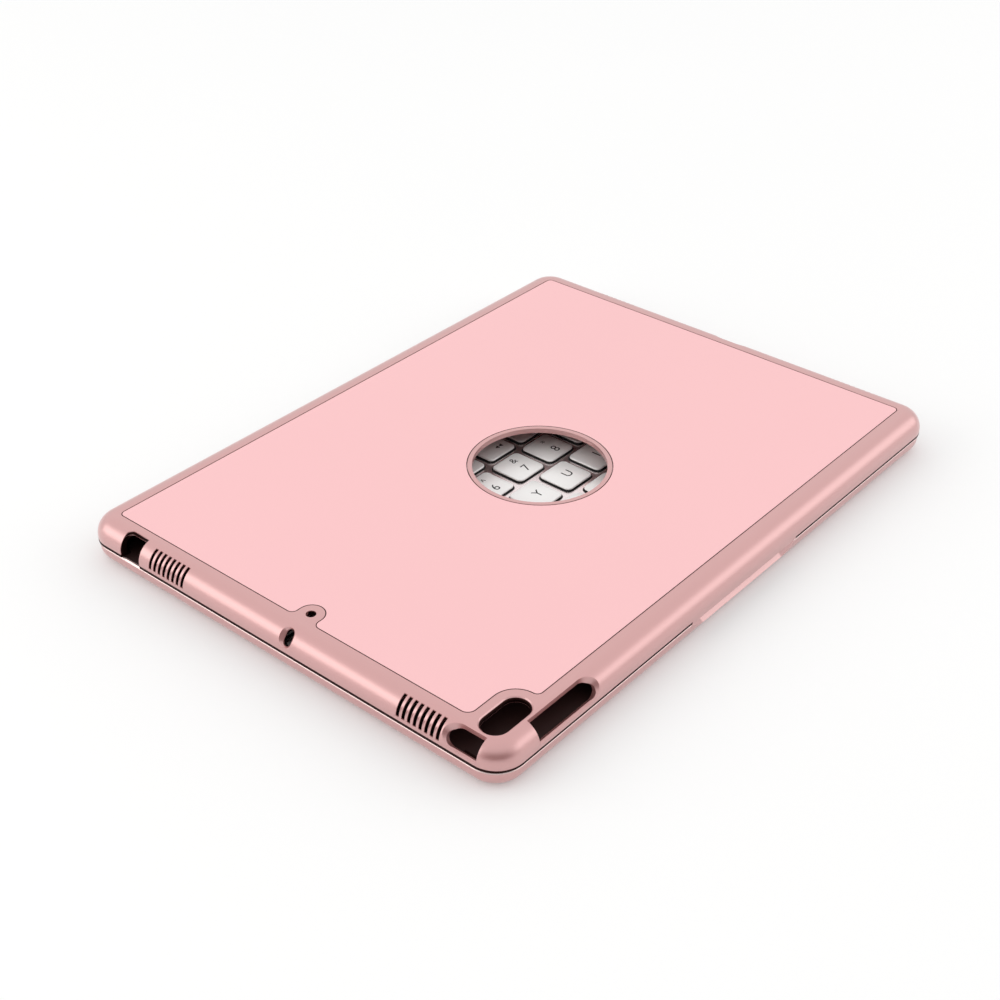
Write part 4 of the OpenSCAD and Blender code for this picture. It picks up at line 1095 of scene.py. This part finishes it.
# Softboxes, each as its place, its width and height, its power in watts and its colour
SOFTBOXES = {
    "rear_softbox": ((-1.28, 0.97, 0.64), (1.6, 0.95), 6.4, (1.0, 0.98, 0.95)),
    "side_softbox": ((1.13, -1.16, 0.64), (1.6, 0.85), 3.9, (1.0, 0.96, 0.95)),
}
FLOOR_REACH = 25.0
PAPER_TONES = ((0.80, 0.803, 0.80), (0.815, 0.816, 0.815))
PAPER_LIFT = (0.17, 0.17, 0.17)
HORIZON_SHADE, REAR_SHADE = 0.30, 0.9


def softbox(name, place, size, energy, colour):
    """A soft rectangular lamp that points at the case."""
    lamp = bpy.data.lights.new(name, "AREA")
    lamp.shape = "RECTANGLE"
    lamp.size, lamp.size_y = size
    lamp.energy = energy
    lamp.color = colour
    holder = bpy.data.objects.new(name, lamp)
    holder.location = place
    holder.rotation_mode = "QUATERNION"
    holder.rotation_quaternion = (-Vector(place)).to_track_quat("-Z", "Y")
    bpy.context.scene.collection.objects.link(holder)


class CASE_OT_stage(bpy.types.Operator):
    """Set the camera, the pale floor and the soft studio light"""

    bl_idname = "case.stage"
    bl_label = "Stage"

    def execute(self, context):
        _, _, stage = settings()
        scene = context.scene
        self.camera(scene, stage)
        self.floor()
        self.sky(scene, stage)
        for name, (place, size, energy, colour) in SOFTBOXES.items():
            softbox(name, place, size, energy, colour)
        scene.view_settings.view_transform = "Standard"
        return {"FINISHED"}

    def camera(self, scene, stage):
        lens = bpy.data.cameras.new("camera")
        lens.lens = stage.lens
        lens.sensor_width = 36
        lens.clip_start, lens.clip_end = 0.01, 50
        eye = bpy.data.objects.new("camera", lens)
        right, up = Vector(stage.right).normalized(), Vector(stage.up).normalized()
        turn = Matrix((right, up, right.cross(up))).transposed().to_4x4()
        eye.matrix_world = Matrix.Translation(stage.eye) @ turn
        scene.collection.objects.link(eye)
        scene.camera = eye

    def floor(self):
        bm = bmesh.new()
        bmesh.ops.create_grid(bm, x_segments=1, y_segments=1, size=FLOOR_REACH)
        mesh = bpy.data.meshes.new("floor")
        bm.to_mesh(mesh)
        bm.free()
        floor = bpy.data.objects.new("floor", mesh)
        bpy.context.scene.collection.objects.link(floor)
        s = Sheet("floor_paper")
        tone = s.blend(s.noise(3, detail=2.0), *PAPER_TONES)
        ray = s.node("ShaderNodeLightPath", output="Is Camera Ray")
        seen = ray + ray.output("Is Glossy Ray") + ray.output("Is Transmission Ray")
        lift = s.blend(seen, (0, 0, 0), PAPER_LIFT)
        mesh.materials.append(s.finish(Base_Color=tone, Roughness=0.9, Specular_IOR_Level=0.1,
                                       Emission_Color=lift, Emission_Strength=1.0))

    def sky(self, scene, stage):
        """An even pale dome, a little darker at the horizon and behind the camera."""
        world = bpy.data.worlds.new("studio")
        scene.world = world
        s = Sheet("studio", world)
        split = s.node("ShaderNodeSeparateXYZ", None,
                       {0: s.node("ShaderNodeTexCoord", output="Generated")})
        x, y, z = split, split.output("Y"), split.output("Z")
        low = 1.0 - s.rise(z, 0.0, 0.45)
        behind = s.rise(x * -0.72 + y * -0.69, 0.35, 0.92) * s.rise(z, 0.75, 0.35)
        level = (1.0 - low * HORIZON_SHADE) * (1.0 - behind * REAR_SHADE) * stage.sky
        light = s.node("ShaderNodeBackground", None, {"Color": (1, 1, 1), "Strength": level})
        s.node("ShaderNodeOutputWorld", None, {"Surface": light})


# ---------------------------------------------------------------- panel


class CASE_PT_sidebar(bpy.types.Panel):
    """Steps that dress the keyboard case"""

    bl_idname = "CASE_PT_sidebar"
    bl_label = "Keyboard Case"
    bl_space_type = "VIEW_3D"
    bl_region_type = "UI"
    bl_category = "Keyboard Case"

    def draw(self, context):
        column = self.layout.column()
        for step in STEPS:
            column.operator(step.bl_idname)
        for group in settings():
            for key in group.__annotations__:
                column.prop(group, key)


GROUPS = {"case_finish": CaseFinish, "case_detail": CaseDetail, "case_stage": CaseStage}
STEPS = [CASE_OT_stage, CASE_OT_shells, CASE_OT_back_plate, CASE_OT_fittings, CASE_OT_feet,
         CASE_OT_cover_screws, CASE_OT_side_controls, CASE_OT_key_caps,
         CASE_OT_key_surrounds, CASE_OT_key_legends]


def register():
    for group in GROUPS.values():
        bpy.utils.register_class(group)
    for step in STEPS:
        bpy.utils.register_class(step)
    bpy.utils.register_class(CASE_PT_sidebar)
    for name, group in GROUPS.items():
        setattr(bpy.types.Scene, name, bpy.props.PointerProperty(type=group))


def unregister():
    for name in GROUPS:
        delattr(bpy.types.Scene, name)
    bpy.utils.unregister_class(CASE_PT_sidebar)
    for step in reversed(STEPS):
        bpy.utils.unregister_class(step)
    for group in reversed(list(GROUPS.values())):
        bpy.utils.unregister_class(group)


def main():
    register()
    for step in STEPS:
        area, name = step.bl_idname.split(".")
        getattr(getattr(bpy.ops, area), name)()


if __name__ == "__main__":
    main()
